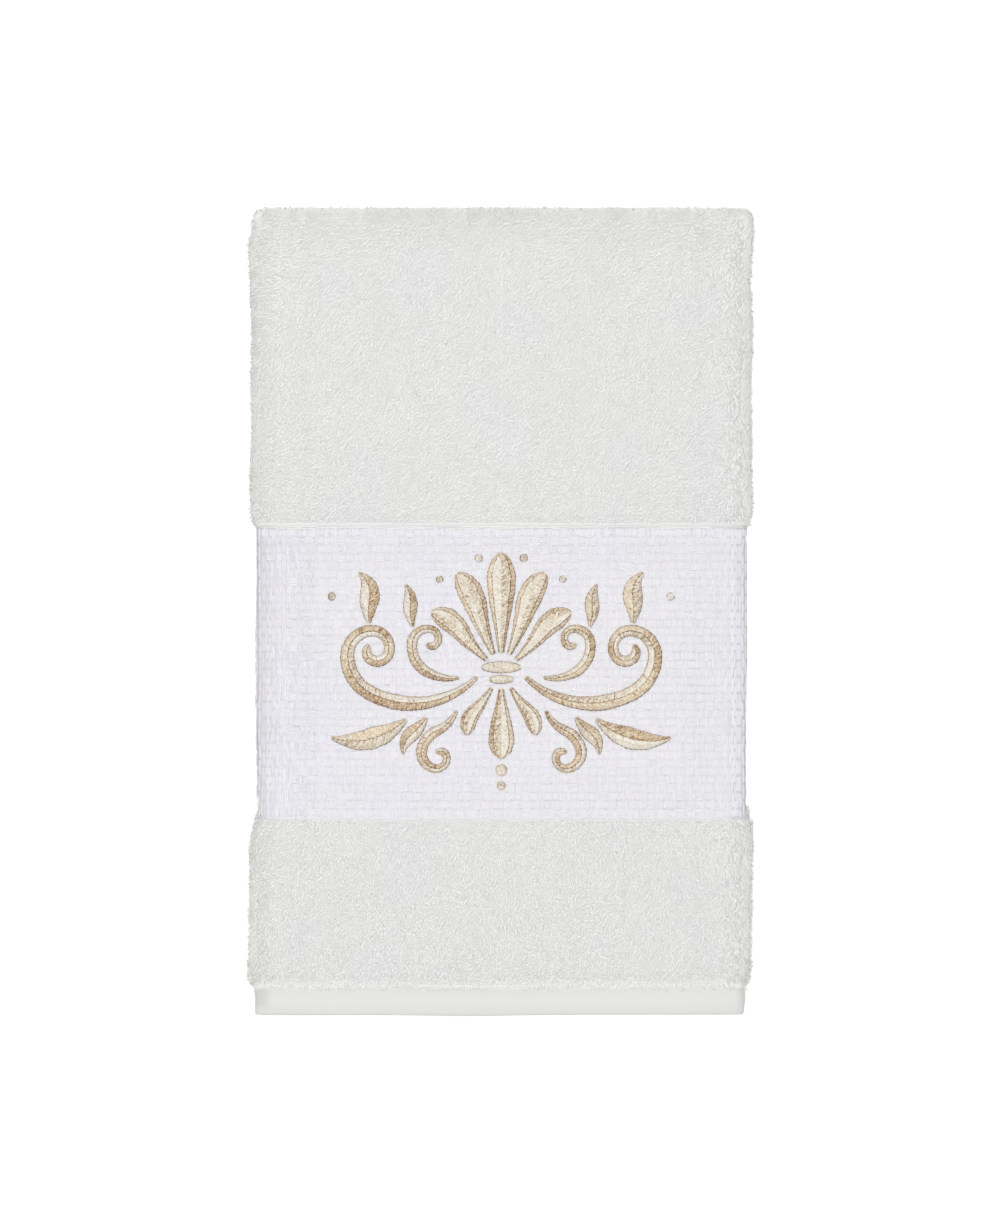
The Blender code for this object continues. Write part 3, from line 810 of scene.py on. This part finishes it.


def weave(name, v0, v1, keep, material, seed):
    """Floats of the basket weave between v0 and v1."""
    random = np.random.default_rng(seed)
    columns, rows = int(WEAVE_WIDTH / CELL_Q), int(round((v1 - v0) / CELL_V))
    threads = np.arange(FLOATS + 1)
    column, row, thread = np.meshgrid(np.arange(columns), np.arange(rows), threads, indexing="ij")
    column, row, thread = column.ravel(), row.ravel(), thread.ravel()
    place = (column + 0.5 - columns / 2.0) * CELL_Q
    opened = np.abs(place) > np.where(place < 0, LEFT_OPEN, RIGHT_OPEN)
    run_on = random.uniform(size=(columns, rows))[column, row] < RUN_ON_SHARE
    first = (column + row) % 2 == 0
    tie = thread == FLOATS
    upright = (first | run_on | opened) & ~tie
    pitted = opened & ((thread == 1) | (thread == 2))
    starts = opened & (first == pitted)
    over_two = starts & (row < rows - 1)
    cell_v = (v1 - v0) / rows
    offset = np.where(tie, 0.5, (thread + 0.5) / FLOATS - 0.5)
    q = place + np.where(upright, offset * CELL_Q, 0.0)
    q += np.where(tie, random.uniform(-TIE_STRAY, TIE_STRAY, q.shape) * CELL_Q, 0.0)
    v = v0 + (row + 0.5) * cell_v + np.where(upright, 0.0, offset * cell_v) + 0.5 * cell_v * over_two
    q += THREAD_STRAY * random.normal(size=q.shape)
    shift = np.where(opened, OPEN_SHIFT, np.where(upright, 1.0, ACROSS_SHIFT))
    v += THREAD_SHIFT * random.normal(size=q.shape) * shift
    tied = ~opened & (row < rows - 1) & (random.uniform(size=q.shape) < TIE_SHARE)
    chosen = keep(q, v) & np.where(tie, tied, starts | ~opened | (row == 0))
    rib = (opened & (thread == FLOATS - 1))[chosen]
    q, v, upright, over_two, pitted, tie = (
        part[chosen] for part in (q, v, upright, over_two, pitted, tie))
    aside = np.clip((np.abs(q) - flat_panel(along_of(v), q > 0, 0.0) + SIDE_RUN) / SIDE_RUN, 0.0, 1.0)
    coarse = 1.0 + (COARSE - 1.0) * smooth((-q - COARSE_FROM) / COARSE_RUN)
    nub = upright & ~over_two & (random.uniform(size=q.shape) < NUB_SHARE)
    length = np.where(upright, cell_v, CELL_Q) * random.uniform(*THREAD_LENGTHS, q.shape)
    longer = upright & ~over_two & (random.uniform(size=q.shape) < LONGER_SHARE)
    length *= np.where(nub, NUB_LENGTH, np.where(over_two, 2.0, np.where(longer, LONGER, 1.0)))
    length *= np.where(tie, random.uniform(*TIE_LENGTHS, q.shape), 1.0)
    width = np.where(upright, CELL_Q, cell_v) / FLOATS / 2.0 * random.uniform(*THREAD_WIDTHS, q.shape)
    width = np.where(tie, TIE_HALF_WIDTH, width)
    shares, heights, long_shares, long_heights = np.array(FLOAT_SHAPE).T
    skew = random.normal(0.0, THREAD_SKEW, q.shape)
    ahead = np.where(over_two[:, None], long_shares, shares) * length[:, None]
    path_q = q[:, None] + np.where(upright[:, None], skew[:, None] * ahead, ahead)
    path_v = v[:, None] + np.where(upright[:, None], ahead, skew[:, None] * ahead)
    heights = np.where(over_two[:, None], long_heights, heights)
    lift = np.where(upright, ALONG_LIFT, -ALONG_LIFT) + random.normal(0.0, THREAD_UNEVEN, q.shape) * coarse
    lift += TIE_LIFT * tie + NUB_HEIGHT * nub + aside * (RIB_LIFT * rib - PIT_DROP * pitted)
    path, up = on_cloth(path_q, path_v, (heights + lift[:, None]) * MM)
    # painted highlight on the nubs and on the ribs beside the side folds, and painted shade on the threads in
    # the pits
    tone = 0.5 + (THREAD_TONE * coarse + TIE_TONE * tie) * random.normal(size=q.shape) + NUB_HIGHLIGHT_TONE * nub
    tone += aside * (RIB_HIGHLIGHT_TONE * rib - random.uniform(*PIT_SHADE_TONES, q.shape) * pitted)
    relief = np.where(upright, RELIEF_ALONG, np.where(tie, TIE_RELIEF, RELIEF_ACROSS)) * coarse
    return strands(name, path, up, width, relief * width, tone, material)


LOW_LINES = (0.85,)             # mm from the border's low edge to the plain threads there
HIGH_LINES = (1.0, 0.2)         # and from its high edge
EDGE_THREAD_RUN = 6.0 * MM      # visible length of such a thread
EDGE_THREAD_HALF_WIDTH = 0.36 * MM
EDGE_THREAD_WIDTHS = (0.9, 1.1)
EDGE_THREAD_SHAPE = ((-0.75, 1.0), (-0.4, 1.14), (0.0, 1.18), (0.4, 1.14), (0.75, 1.0))     # share, mm
EDGE_THREAD_WANDER = 0.7 * MM   # over cells of this width
EDGE_THREAD_CELL = 9.0 * MM
EDGE_THREAD_UNEVEN = 0.07       # mm
EDGE_THREAD_DRIFT = 0.05        # mm along the cloth
EDGE_THREAD_TONE = 0.15
WEAVE_REACH = 2.4               # radians round the side folds that weave and threads reach


def edge_threads(name, places, rise, shade, material, seed):
    """Plain threads across the front beside the weave, at these places along it."""
    random = np.random.default_rng(seed)
    columns = int(WEAVE_WIDTH / EDGE_THREAD_RUN)
    column, line = np.meshgrid(np.arange(columns), np.arange(len(places)))
    q = (column + 0.5 - columns / 2.0 + random.uniform(-0.2, 0.2, column.shape)) * EDGE_THREAD_RUN
    q, v = q.ravel(), np.array(places)[line.ravel()]
    v = v + EDGE_THREAD_WANDER * noise(q, v * 0.0, EDGE_THREAD_CELL, seed)
    chosen = front_reach(WEAVE_REACH)(q, v)
    q, v = q[chosen], v[chosen]
    shares, heights = np.array(EDGE_THREAD_SHAPE).T
    heights = rise + heights + random.normal(0.0, EDGE_THREAD_UNEVEN, q.shape)[:, None]
    drift = random.normal(0.0, EDGE_THREAD_DRIFT, q.shape)[:, None] * MM
    path, up = on_cloth(q[:, None] + shares * EDGE_THREAD_RUN, v[:, None] + drift * shares, heights * MM)
    width = random.uniform(*EDGE_THREAD_WIDTHS, q.shape) * EDGE_THREAD_HALF_WIDTH
    tone = random.normal(shade, EDGE_THREAD_TONE, q.shape)
    return strands(name, path, up, width, 0.45 * width, tone, material)


# ---- Embroidery ----

STITCH_MIDDLE_Y = 157.0 * MM - LENGTH / 2.0
STITCH_GAP = 0.4 * MM           # between the cloth and the backs of the stitches
STITCH_HEIGHT = 1.1 * MM
STITCH_FULL_WIDTH = 3.2 * MM    # a figure narrower than this is lower in proportion
STITCH_LEAST_HEIGHT = 0.3 * MM

Figure = namedtuple("Figure", "name form mirrored x y heading width legs")
FIGURES = (                     # mm and degrees; legs are the arcs of its middle line: (length, turn)
    Figure("petal_mid", "petal", False, 0.0, 9.0, 90.0, 12.5, ((46.0, 0.0),)),
    Figure("petal_in", "petal", True, 3.6, 8.4, 66.0, 10.5, ((22.0, 8.0), (19.0, -26.0))),
    Figure("petal_out", "petal", True, 6.6, 5.8, 40.0, 9.5, ((17.0, 14.0), (17.0, -40.0))),
    Figure("collar", "bead", False, -9.0, 2.4, 0.0, 5.0, ((18.0, 0.0),)),
    Figure("ring", "bead", False, -5.6, -3.2, 0.0, 3.6, ((11.2, 0.0),)),
    Figure("drop_mid", "petal", False, 0.0, -7.5, 270.0, 11.0, ((32.0, 0.0),)),
    Figure("drop_side", "petal", True, 4.4, -7.0, 300.0, 7.0, ((13.0, 12.0), (12.0, -50.0))),
    Figure("bead_low", "bead", False, 0.0, -42.4, 270.0, 5.0, ((5.0, 0.0),)),
    Figure("bead_end", "bead", False, 0.0, -50.2, 270.0, 3.6, ((3.6, 0.0),)),
    Figure("scroll", "scroll", True, 11.2, -2.2, 316.0, 6.4,
           ((24.0, 32.0), (29.0, 40.0), (21.0, 62.0), (18.0, 90.0), (15.0, 110.0), (10.5, 110.0),
            (7.0, 100.0))),
    Figure("curl_up", "scroll", True, 19.5, -2.4, 350.0, 4.4,
           ((15.0, 40.0), (16.0, 66.0), (12.0, 96.0), (9.0, 120.0), (5.0, 110.0))),
    Figure("curl_low", "scroll", True, 20.5, -17.5, 292.0, 4.6,
           ((13.0, 44.0), (11.0, -50.0), (12.0, -90.0), (10.0, -120.0), (6.0, -120.0))),
    Figure("sprig", "leaf", True, 40.6, 21.0, 74.0, 6.2, ((10.0, 20.0), (10.0, -34.0))),
    Figure("leaf_low", "leaf", True, 43.5, -21.5, 318.0, 9.4, ((18.0, 26.0), (19.0, 34.0))),
    Figure("leaf_mid", "leaf", True, 34.2, -20.6, 302.0, 6.5, ((10.0, 20.0), (11.0, -60.0))),
    Figure("leaf_top", "leaf", True, 60.5, 22.6, 84.0, 8.5, ((12.0, 14.0), (13.0, -64.0))),
    Figure("bead_in", "bead", True, 10.6, 51.0, 100.0, 3.4, ((3.4, 0.0),)),
    Figure("bead_out", "bead", True, 27.5, 41.5, 60.0, 3.0, ((3.0, 0.0),)),
    Figure("bead_tip", "bead", True, 76.2, 34.0, 30.0, 3.4, ((3.4, 0.0),)),
)
WIDTHS = {                      # along a figure: (share of the length, share of the width)
    "petal": ((0.0, 0.18), (0.2, 0.4), (0.42, 0.7), (0.62, 0.95), (0.78, 1.0), (0.9, 0.76),
              (0.97, 0.42), (1.0, 0.14)),
    "leaf": ((0.0, 0.14), (0.15, 0.5), (0.35, 0.9), (0.5, 1.0), (0.7, 0.8), (0.86, 0.42), (1.0, 0.08)),
    "scroll": ((0.0, 0.25), (0.12, 0.62), (0.3, 1.0), (0.55, 0.95), (0.8, 0.66), (0.93, 0.72),
               (0.98, 0.55), (1.0, 0.2)),
    "bead": ((0.0, 0.22), (0.1, 0.62), (0.28, 0.92), (0.5, 1.0), (0.72, 0.92), (0.9, 0.62), (1.0, 0.22)),
}
TWO_LANES = ((-1.0, 0.0), (-0.55, 1.0), (0.0, 0.62), (0.55, 1.0), (1.0, 0.0))
ROUNDED = ((-1.0, 0.0), (-0.6, 0.75), (0.0, 1.0), (0.6, 0.75), (1.0, 0.0))
SECTION_OF_FORM = {             # across a figure: (share of the half width, share of the height)
    "petal": TWO_LANES,
    "leaf": TWO_LANES,
    "scroll": ROUNDED,
    "bead": ROUNDED,
}

STITCH_PITCH = 0.56 * MM
Lane = namedtuple("Lane", "form start end slant thread")
LANES = (       # stitches between two places across a figure; slant is along it, per distance across
    Lane("petal", -0.02, 0.72, 0.75, "champagne"),
    Lane("petal", 0.02, -0.72, 0.75, "champagne"),
    Lane("petal", 0.66, 1.04, 0.9, "gold"),
    Lane("petal", -0.66, -1.04, 0.9, "gold"),
    Lane("leaf", -0.02, 1.04, 0.8, "champagne"),
    Lane("leaf", 0.02, -1.04, 0.8, "gold"),
    Lane("scroll", -0.1, 1.04, 0.45, "gold"),
    Lane("scroll", 0.0, -1.04, 0.45, "champagne"),
    Lane("bead", -1.04, 1.04, 0.15, "champagne"),
)
STITCH_SHAPE = ((0.0, -0.10), (0.14, 0.12), (0.5, 0.20), (0.86, 0.12), (1.0, -0.12))    # share, mm above
STITCH_REACH = 2.2 * MM         # wider places take two or more stitches
STITCH_HALF_WIDTH = 0.30 * MM
STITCH_HALF_HEIGHT = 0.14 * MM
STITCH_WIDTHS = (0.85, 1.1)     # times that, from stitch to stitch
STITCH_TONE = (0.54, 0.2)       # mean and how much stitches differ
STITCH_UNEVEN = 0.03            # mm that one stitch stands higher or lower than the next
STAGGER = 0.4                   # how far the parts of stitches in wide places are shifted
LANE_RAGGED = (0.02, 0.03)      # how uneven a lane's start and end are
PAINTED_LIGHT_WAY = math.radians(135.0)    # way of the painted light: stitches that run this way get the most painted sheen
PAINTED_SHEEN = 0.25                    # and the share of their tone that is that painted sheen


def sewn():
    """Each figure with its side, which is -1 for its mirror image."""
    for figure in FIGURES:
        yield figure, 1.0
        if figure.mirrored:
            yield figure, -1.0


def walk(figure, shares):
    """Places and headings on a figure's middle line, whose legs are arcs, in mm and radians."""
    x, y = np.full_like(shares, figure.x), np.full_like(shares, figure.y)
    heading = np.full_like(shares, math.radians(figure.heading))
    left = shares * sum(length for length, turn in figure.legs)
    for length, turn in figure.legs:
        step = np.clip(left, 0.0, length)
        bend = math.radians(turn) * step / length
        chord = step * np.sinc(bend / 2.0 / math.pi)
        x = x + chord * np.cos(heading + bend / 2.0)
        y = y + chord * np.sin(heading + bend / 2.0)
        heading = heading + bend
        left = left - step
    return x, y, heading


def on_figure(figure, side, shares, asides, above):
    """Points on a figure's stitches, given places along and across it and mm above them."""
    x, y, heading = walk(figure, np.clip(shares, 0.0, 1.0))
    places, widths = np.array(WIDTHS[figure.form]).T
    half = figure.width * np.interp(shares, places, widths) / 2.0
    height = STITCH_HEIGHT * np.minimum(2.0 * half * MM / STITCH_FULL_WIDTH, 1.0)
    height = np.maximum(height, STITCH_LEAST_HEIGHT)
    across, rises = np.array(SECTION_OF_FORM[figure.form]).T
    rise = np.interp(asides, across, rises)
    place_x = side * (x + asides * half * np.sin(heading)) * MM
    place_y = STITCH_MIDDLE_Y + (y - asides * half * np.cos(heading)) * MM
    cloth, up = on_cloth(place_x, place_y + LENGTH / 2.0, np.zeros_like(place_x))
    outside = np.clip((np.abs(asides) - 0.9) / 0.15, 0.0, 1.0)
    high = GROUND_THICK / 2.0 + STITCH_GAP * (1.0 - outside) + rise * height + above * MM
    return cloth + up * high[..., None], up


def stitches(figure, side, lane, random):
    """Paths of the stitches in one lane of a figure. Wide places are crossed in staggered parts."""
    total = sum(length for length, _ in figure.legs)
    count = max(int(total * MM / STITCH_PITCH), 3)
    share = (np.arange(count) + 0.5 + random.uniform(-0.2, 0.2, count)) / count
    places, widths = np.array(WIDTHS[figure.form]).T
    half = figure.width * np.interp(share, places, widths) / 2.0
    parts = np.maximum(np.round(abs(lane.end - lane.start) * half * MM / STITCH_REACH), 1).astype(int)
    row = np.repeat(np.arange(count), parts)
    part = np.arange(len(row)) - np.repeat(np.cumsum(parts) - parts, parts)
    stagger = random.uniform(-STAGGER, STAGGER, count)[row]
    low = np.where(part == 0, 0.0, (part + stagger) / parts[row])
    high = np.where(part == parts[row] - 1, 1.0, (part + 1.0 + stagger) / parts[row])
    start = (lane.start + random.normal(0.0, LANE_RAGGED[0], count))[row]
    end = (lane.end + random.normal(0.0, LANE_RAGGED[1], count))[row]
    shares, aboves = np.array(STITCH_SHAPE).T
    crossed = low[:, None] + (high - low)[:, None] * shares
    asides = start[:, None] + (end - start)[:, None] * crossed
    ahead = lane.slant * np.abs(asides - start[:, None]) * half[row][:, None] / total
    middle_ahead = lane.slant * abs(lane.end - lane.start) * half[row][:, None] / total / 2.0
    along = np.clip(share[row][:, None] + ahead - middle_ahead, 0.005, 0.995)
    aboves = aboves + random.normal(0.0, STITCH_UNEVEN, len(row))[:, None]
    return on_figure(figure, side, along, asides, aboves)


def make_stitches(looks):
    """All satin stitches, one piece for each thread."""
    random = np.random.default_rng(51)
    paths = {thread: [] for thread in looks}
    for figure, side in sewn():
        for lane in LANES:
            if lane.form == figure.form:
                paths[lane.thread].append(stitches(figure, side, lane, random))
    pieces = []
    for thread, look in looks.items():
        path, up = (np.concatenate(parts) for parts in zip(*paths[thread]))
        count = len(path)
        width = random.uniform(*STITCH_WIDTHS, count)
        run = path[:, -1] - path[:, 0]
        way = np.arctan2(run[:, 1], run[:, 0])
        # painted sheen: tone is raised for stitches that run the way of the light
        tone = random.normal(*STITCH_TONE, count) + PAINTED_SHEEN * np.cos(2.0 * (way - PAINTED_LIGHT_WAY))
        pieces.append(strands("stitch_threads_" + thread, path, up, STITCH_HALF_WIDTH * width,
                              STITCH_HALF_HEIGHT * width, tone, look))
    return pieces


OUTLINE_PAINTED_SHADE = 0.4             # painted shade: share of their tone set by the side of the figure that they lie on
OUTLINE_TONES = (0.1, 0.7)
OUTLINE_RUN = 2.0               # mm in each running stitch round a figure
OUTLINE_RAGGED = 0.02           # how far it strays, as a share of the half width
OUTLINE_HALF_WIDTH = 0.19 * MM
OUTLINE_HALF_HEIGHT = 0.14 * MM
OUTLINE_WIDTHS = (0.8, 1.1)
OUTLINE_SHAPE = ((-0.52, 0.0), (-0.3, 0.34), (0.3, 0.34), (0.52, 0.0))      # share, mm above
OUTLINES_OF_FORM = {            # where they run, as shares of the half width
    "petal": (-1.04, -0.68, 0.68, 1.04),
    "leaf": (-1.04, 0.0, 1.04),
    "scroll": (-1.04, -0.08, 1.04),
    "bead": (-1.04, 1.04),
}


def make_outline(look):
    """Thin running stitches round the figures, their brown partly painted shade: darkest on the sides away
    from the light.
    """
    random = np.random.default_rng(61)
    paths, ups, tones = [], [], []
    shares, aboves = np.array(OUTLINE_SHAPE).T
    bright_x, bright_y = math.cos(PAINTED_LIGHT_WAY), math.sin(PAINTED_LIGHT_WAY)
    for figure, side in sewn():
        count = max(int(sum(length for length, _ in figure.legs) / OUTLINE_RUN), 2)
        for edge in OUTLINES_OF_FORM[figure.form]:
            share = (np.arange(count) + 0.5) / count
            along = share[:, None] + shares / count
            aside = edge + random.normal(0.0, OUTLINE_RAGGED, count)[:, None] + 0.0 * shares
            path, up = on_figure(figure, side, along, aside, aboves + 0.0 * along)
            paths.append(path)
            ups.append(up)
            # painted shade: outline stitches facing away from the light get a lower tone
            heading = walk(figure, share)[2]
            facing = side * bright_x * np.sin(heading) - bright_y * np.cos(heading)
            tones.append(OUTLINE_PAINTED_SHADE * np.sign(edge) * facing)
    path, up, painted_side_shade = np.concatenate(paths), np.concatenate(ups), np.concatenate(tones)
    width = random.uniform(*OUTLINE_WIDTHS, len(path))
    tone = random.uniform(*OUTLINE_TONES, len(path)) + painted_side_shade
    return strands("stitch_outline", path, up, OUTLINE_HALF_WIDTH * width, OUTLINE_HALF_HEIGHT * width,
                   tone, look)


# ---- Camera, floor and light ----

CAMERA_HEIGHT = 2.418
CAMERA_X = -0.57 * MM
LENS = 154.4
SENSOR = 36.0
CLIP_END = 50.0
HORIZON_LIGHT = 0.08
ZENITH_LIGHT = 0.88
Lamp = namedtuple("Lamp", "name power size place")
LAMPS = (                       # watts and metres
    Lamp("key", 6.0, 1.6, (-0.7, 0.9, 1.9)),
    Lamp("overhead", 42.0, 1.6, (-0.15, 0.2, 3.2)),
)
FLOOR_REACH = 6.0
FLOOR_GREYS = (0.44, 0.46)
FLOOR_GLOW = 0.72
WHITE = (1.0, 1.0, 1.0, 1.0)


def make_camera():
    """Straight above the towel."""
    data = bpy.data.cameras.new("camera")
    data.lens = LENS
    data.sensor_width = SENSOR
    data.clip_end = CLIP_END
    bpy.context.scene.camera = placed("camera", data, (CAMERA_X, 0.0, CAMERA_HEIGHT))


def make_light(row):
    """A soft square lamp that faces the towel."""
    data = bpy.data.lights.new(row.name, "AREA")
    data.energy = row.power
    data.shape = "SQUARE"
    data.size = row.size
    x, y, z = row.place
    lamp = placed(row.name, data, row.place)
    lamp.rotation_euler = (math.atan2(math.hypot(x, y), z), 0.0, math.atan2(y, x) + math.pi / 2.0)


def make_sky():
    """Even light from above that fades towards the horizon."""
    world = bpy.data.worlds.new("studio")
    world.use_nodes = True
    tree = world.node_tree
    apart = add(tree, "SeparateXYZ", {"Vector": add(tree, "TexCoord").outputs["Generated"]})
    height = apart.outputs["Z"]
    squared = add(tree, "Math", {0: height, 1: height}, operation="MULTIPLY").outputs[0]
    strength = scaled(tree, squared, HORIZON_LIGHT, ZENITH_LIGHT)
    feed(tree, tree.nodes["Background"], {"Color": WHITE, "Strength": strength})
    bpy.context.scene.world = world


def make_studio():
    """A plain white floor and soft light."""
    material, tree, shader, place = new_look("floor_paper")
    dark, light = ((grey, grey, grey) for grey in FLOOR_GREYS)
    feed(tree, shader, {
        "Base Color": ramp(tree, noise_node(tree, place, 60.0), ((0.3, dark), (0.7, light))),
        "Roughness": 0.9,
        "Specular IOR Level": 0.0,
        "Emission Color": WHITE,
        "Emission Strength": FLOOR_GLOW,
    })
    mesh = bpy.data.meshes.new("floor")
    corners = ((-1, -1), (1, -1), (1, 1), (-1, 1))
    mesh.from_pydata([(x * FLOOR_REACH, y * FLOOR_REACH, 0.0) for x, y in corners], [], [(0, 1, 2, 3)])
    mesh.materials.append(material)
    floor = placed("floor", mesh)
    make_sky()
    for row in LAMPS:
        make_light(row)
    bpy.context.scene.view_settings.view_transform = "Standard"


# ---- Making it all ----

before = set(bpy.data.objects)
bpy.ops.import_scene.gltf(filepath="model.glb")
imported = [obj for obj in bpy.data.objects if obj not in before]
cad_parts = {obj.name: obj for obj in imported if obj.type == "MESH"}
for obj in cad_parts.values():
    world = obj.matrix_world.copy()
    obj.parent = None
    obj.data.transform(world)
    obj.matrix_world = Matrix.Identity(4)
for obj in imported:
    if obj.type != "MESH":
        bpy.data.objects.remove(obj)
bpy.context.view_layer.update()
make_camera()
make_studio()

# painted shade: the border's threads darker towards both side folds; and lighter towards the border's high
# edge
BORDER_PAINTED_SHADING = (
    Worn("X", -104.5, -111.0, (0.81, 0.80, 0.835)),
    Worn("X", 106.0, 108.5, (0.85, 0.845, 0.88)),
    Worn("Y", 30.0, 35.5, (0.91, 0.90, 0.945)),
)
# painted shade: the border's ground darker towards both side folds, where it shows in the pits between
# threads
GROUND_PAINTED_SHADING = (
    Worn("X", -100.0, -107.0, (0.70, 0.70, 0.73)),
    Worn("X", 102.5, 108.0, (0.70, 0.70, 0.73)),
)
PILE_PAINTED_SHADING = (                   # painted shade: greyer towards the side folds, towards the top fold and in a row above the hem; painted light on the side folds, on the top fold and at the last loops above the hem
    Worn("X", -101.0, -114.5, (0.83, 0.835, 0.805)),
    Worn("X", 99.0, 114.0, (0.84, 0.84, 0.815)),
    Worn("Y", 160.0, 180.0, (0.87, 0.87, 0.845)),
    Worn("X", -112.5, -114.5, (0.87, 0.875, 0.845)),
    Worn("X", 111.7, 113.3, (0.87, 0.87, 0.85)),
    Worn("Y", 181.3, 184.3, (0.90, 0.90, 0.875)),
    Worn("Y", -169.0, -171.0, (0.87, 0.87, 0.85)),
    Worn("Y", -171.0, -171.8, (0.96, 0.96, 0.94)),
)
# painted shade: darker at both ends, where the hem turns behind, and along its low edge; painted light where
# the pile meets it
HEM_PAINTED_SHADING = (
    Worn("X", -104.0, -110.0, (0.745, 0.73, 0.70)),
    Worn("X", 106.0, 111.0, (0.78, 0.78, 0.755)),
    Worn("Y", -179.0, -184.5, (0.815, 0.82, 0.795)),
    Worn("Y", -173.6, -172.2, (0.985, 0.99, 0.965)),
)
pile_look = cotton("terry_yarn", (0.86, 0.86, 0.85), (0.95, 0.95, 0.94), worn=PILE_PAINTED_SHADING)
border_look = cotton("border_yarn", (0.83, 0.82, 0.86), (0.955, 0.945, 0.985), 0.03, BORDER_PAINTED_SHADING)
# painted shade: the loops that stand out at the folds get a darker colour than the pile
stray_shaded_look = cotton("stray_terry_yarn_painted_shade", (0.64, 0.64, 0.63), (0.84, 0.84, 0.825))
ground_looks = (
    woven("terry_ground", (0.86, 0.86, 0.845), (0.93, 0.93, 0.915), worn=PILE_PAINTED_SHADING),
    woven("hem_cloth", (0.835, 0.845, 0.815), (0.875, 0.885, 0.855), worn=HEM_PAINTED_SHADING),
    # painted shade: the ground under the border's threads is darker than the threads, as shade between them
    woven("border_ground", (0.78, 0.775, 0.815), (0.88, 0.875, 0.915), worn=GROUND_PAINTED_SHADING),
)
thread_looks = {
    "champagne": satin("champagne_thread_satin", (
        (0.12, (0.42, 0.29, 0.18)), (0.35, (0.78, 0.68, 0.53)), (0.57, (0.94, 0.88, 0.77)),
        (0.84, (1.0, 0.985, 0.93)))),
    "gold": satin("gold_thread_satin", (
        (0.12, (0.32, 0.18, 0.09)), (0.34, (0.66, 0.48, 0.31)), (0.58, (0.89, 0.745, 0.55)),
        (0.86, (0.99, 0.95, 0.83)))),
}
pad_looks = {
    "champagne": woven("champagne_padding", (0.70, 0.58, 0.43), (0.90, 0.81, 0.67), thread=0.5),
    "gold": woven("gold_padding", (0.58, 0.43, 0.28), (0.80, 0.65, 0.47), thread=0.5),
}
outline_look = satin("brown_thread_satin", (
    (0.1, (0.17, 0.085, 0.035)), (0.5, (0.33, 0.20, 0.105)), (0.9, (0.58, 0.42, 0.27))))

cloth = make_cloth(ground_looks)

WHOLE = WHOLE_RUN / MM
UPPER = (225.7, FRONT_RUN / MM)     # mm along the cloth, from and to
LOWER = (11.0, 89.6)
TOP = (FRONT_RUN / MM, FRONT_RUN / MM + TOP_RUN / MM)
BACK_UPPER = (WHOLE - BACK_RUN / MM, WHOLE - 225.7)
BACK_LOWER = (WHOLE - 89.6, WHOLE - 12.6)
PILE_REACH = 2.2                # radians round the side folds
front, sides = front_reach(PILE_REACH), side_only(PILE_REACH, 6.0 * MM)
PATCHES = (
    Patch("pile_upper_left", -122, 0, *UPPER, 1.0, 1.0, 11, front, 0.0),
    Patch("pile_upper_right", 0, 122, *UPPER, 1.0, 1.0, 12, front, 0.0),
    Patch("pile_lower_left", -122, 0, *LOWER, 1.0, 1.0, 13, front, 0.0),
    Patch("pile_lower_right", 0, 122, *LOWER, 1.0, 1.0, 14, front, 0.0),
    Patch("pile_top_fold", -122, 122, *TOP, 1.0, 1.0, 15, front, 0.0),
    Patch("pile_back_sides_upper", -122, 122, *BACK_UPPER, 0.8, 1.1, 16, sides, 0.0),
    Patch("pile_underside_upper", -106, 106, *BACK_UPPER, 0.22, 1.6, 18, everywhere, -0.15),
    Patch("pile_back_sides_lower", -122, 122, *BACK_LOWER, 0.8, 1.1, 17, sides, 0.0),
    Patch("pile_underside_lower", -106, 106, *BACK_LOWER, 0.22, 1.6, 19, everywhere, -0.15),
)
loops = [terry_loops(patch, pile_look) for patch in PATCHES]
loops.append(edge_loops("pile_edge_loops", stray_shaded_look, 23))

low_edge, high_edge = BORDER.start * MM, BORDER.end * MM
low_lines = [low_edge + inset * MM for inset in LOW_LINES]
high_lines = [high_edge - inset * MM for inset in HIGH_LINES]
weave_start, weave_end = low_edge + WEAVE_INSETS[0] * MM, high_edge - WEAVE_INSETS[1] * MM
weaves = [
    weave("border_weave", weave_start, weave_end, front_reach(WEAVE_REACH), border_look, 21),
    weave("border_weave_back_sides", WHOLE_RUN - weave_end, WHOLE_RUN - weave_start,
          side_only(WEAVE_REACH, 12.0 * MM), border_look, 22),
    edge_threads("border_edge_low", low_lines, -0.2, 0.3, pile_look, 24),
    edge_threads("border_edge_high", high_lines, 0.1, 0.85, pile_look, 25),
]
threads = make_stitches(thread_looks)
outline = make_outline(outline_look)

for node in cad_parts:
    piece = bpy.data.objects.get(node) if isinstance(node, str) else node
    if piece and piece.name.startswith("stitch_"):
        look = pad_looks["gold" if "gold" in piece.material_slots[0].material.name else "champagne"]
        piece.material_slots[0].material = look

on_sheet = loops + weaves + threads + [outline]
for piece in [cloth] + on_sheet:
    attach(piece, "root")
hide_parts("towel")
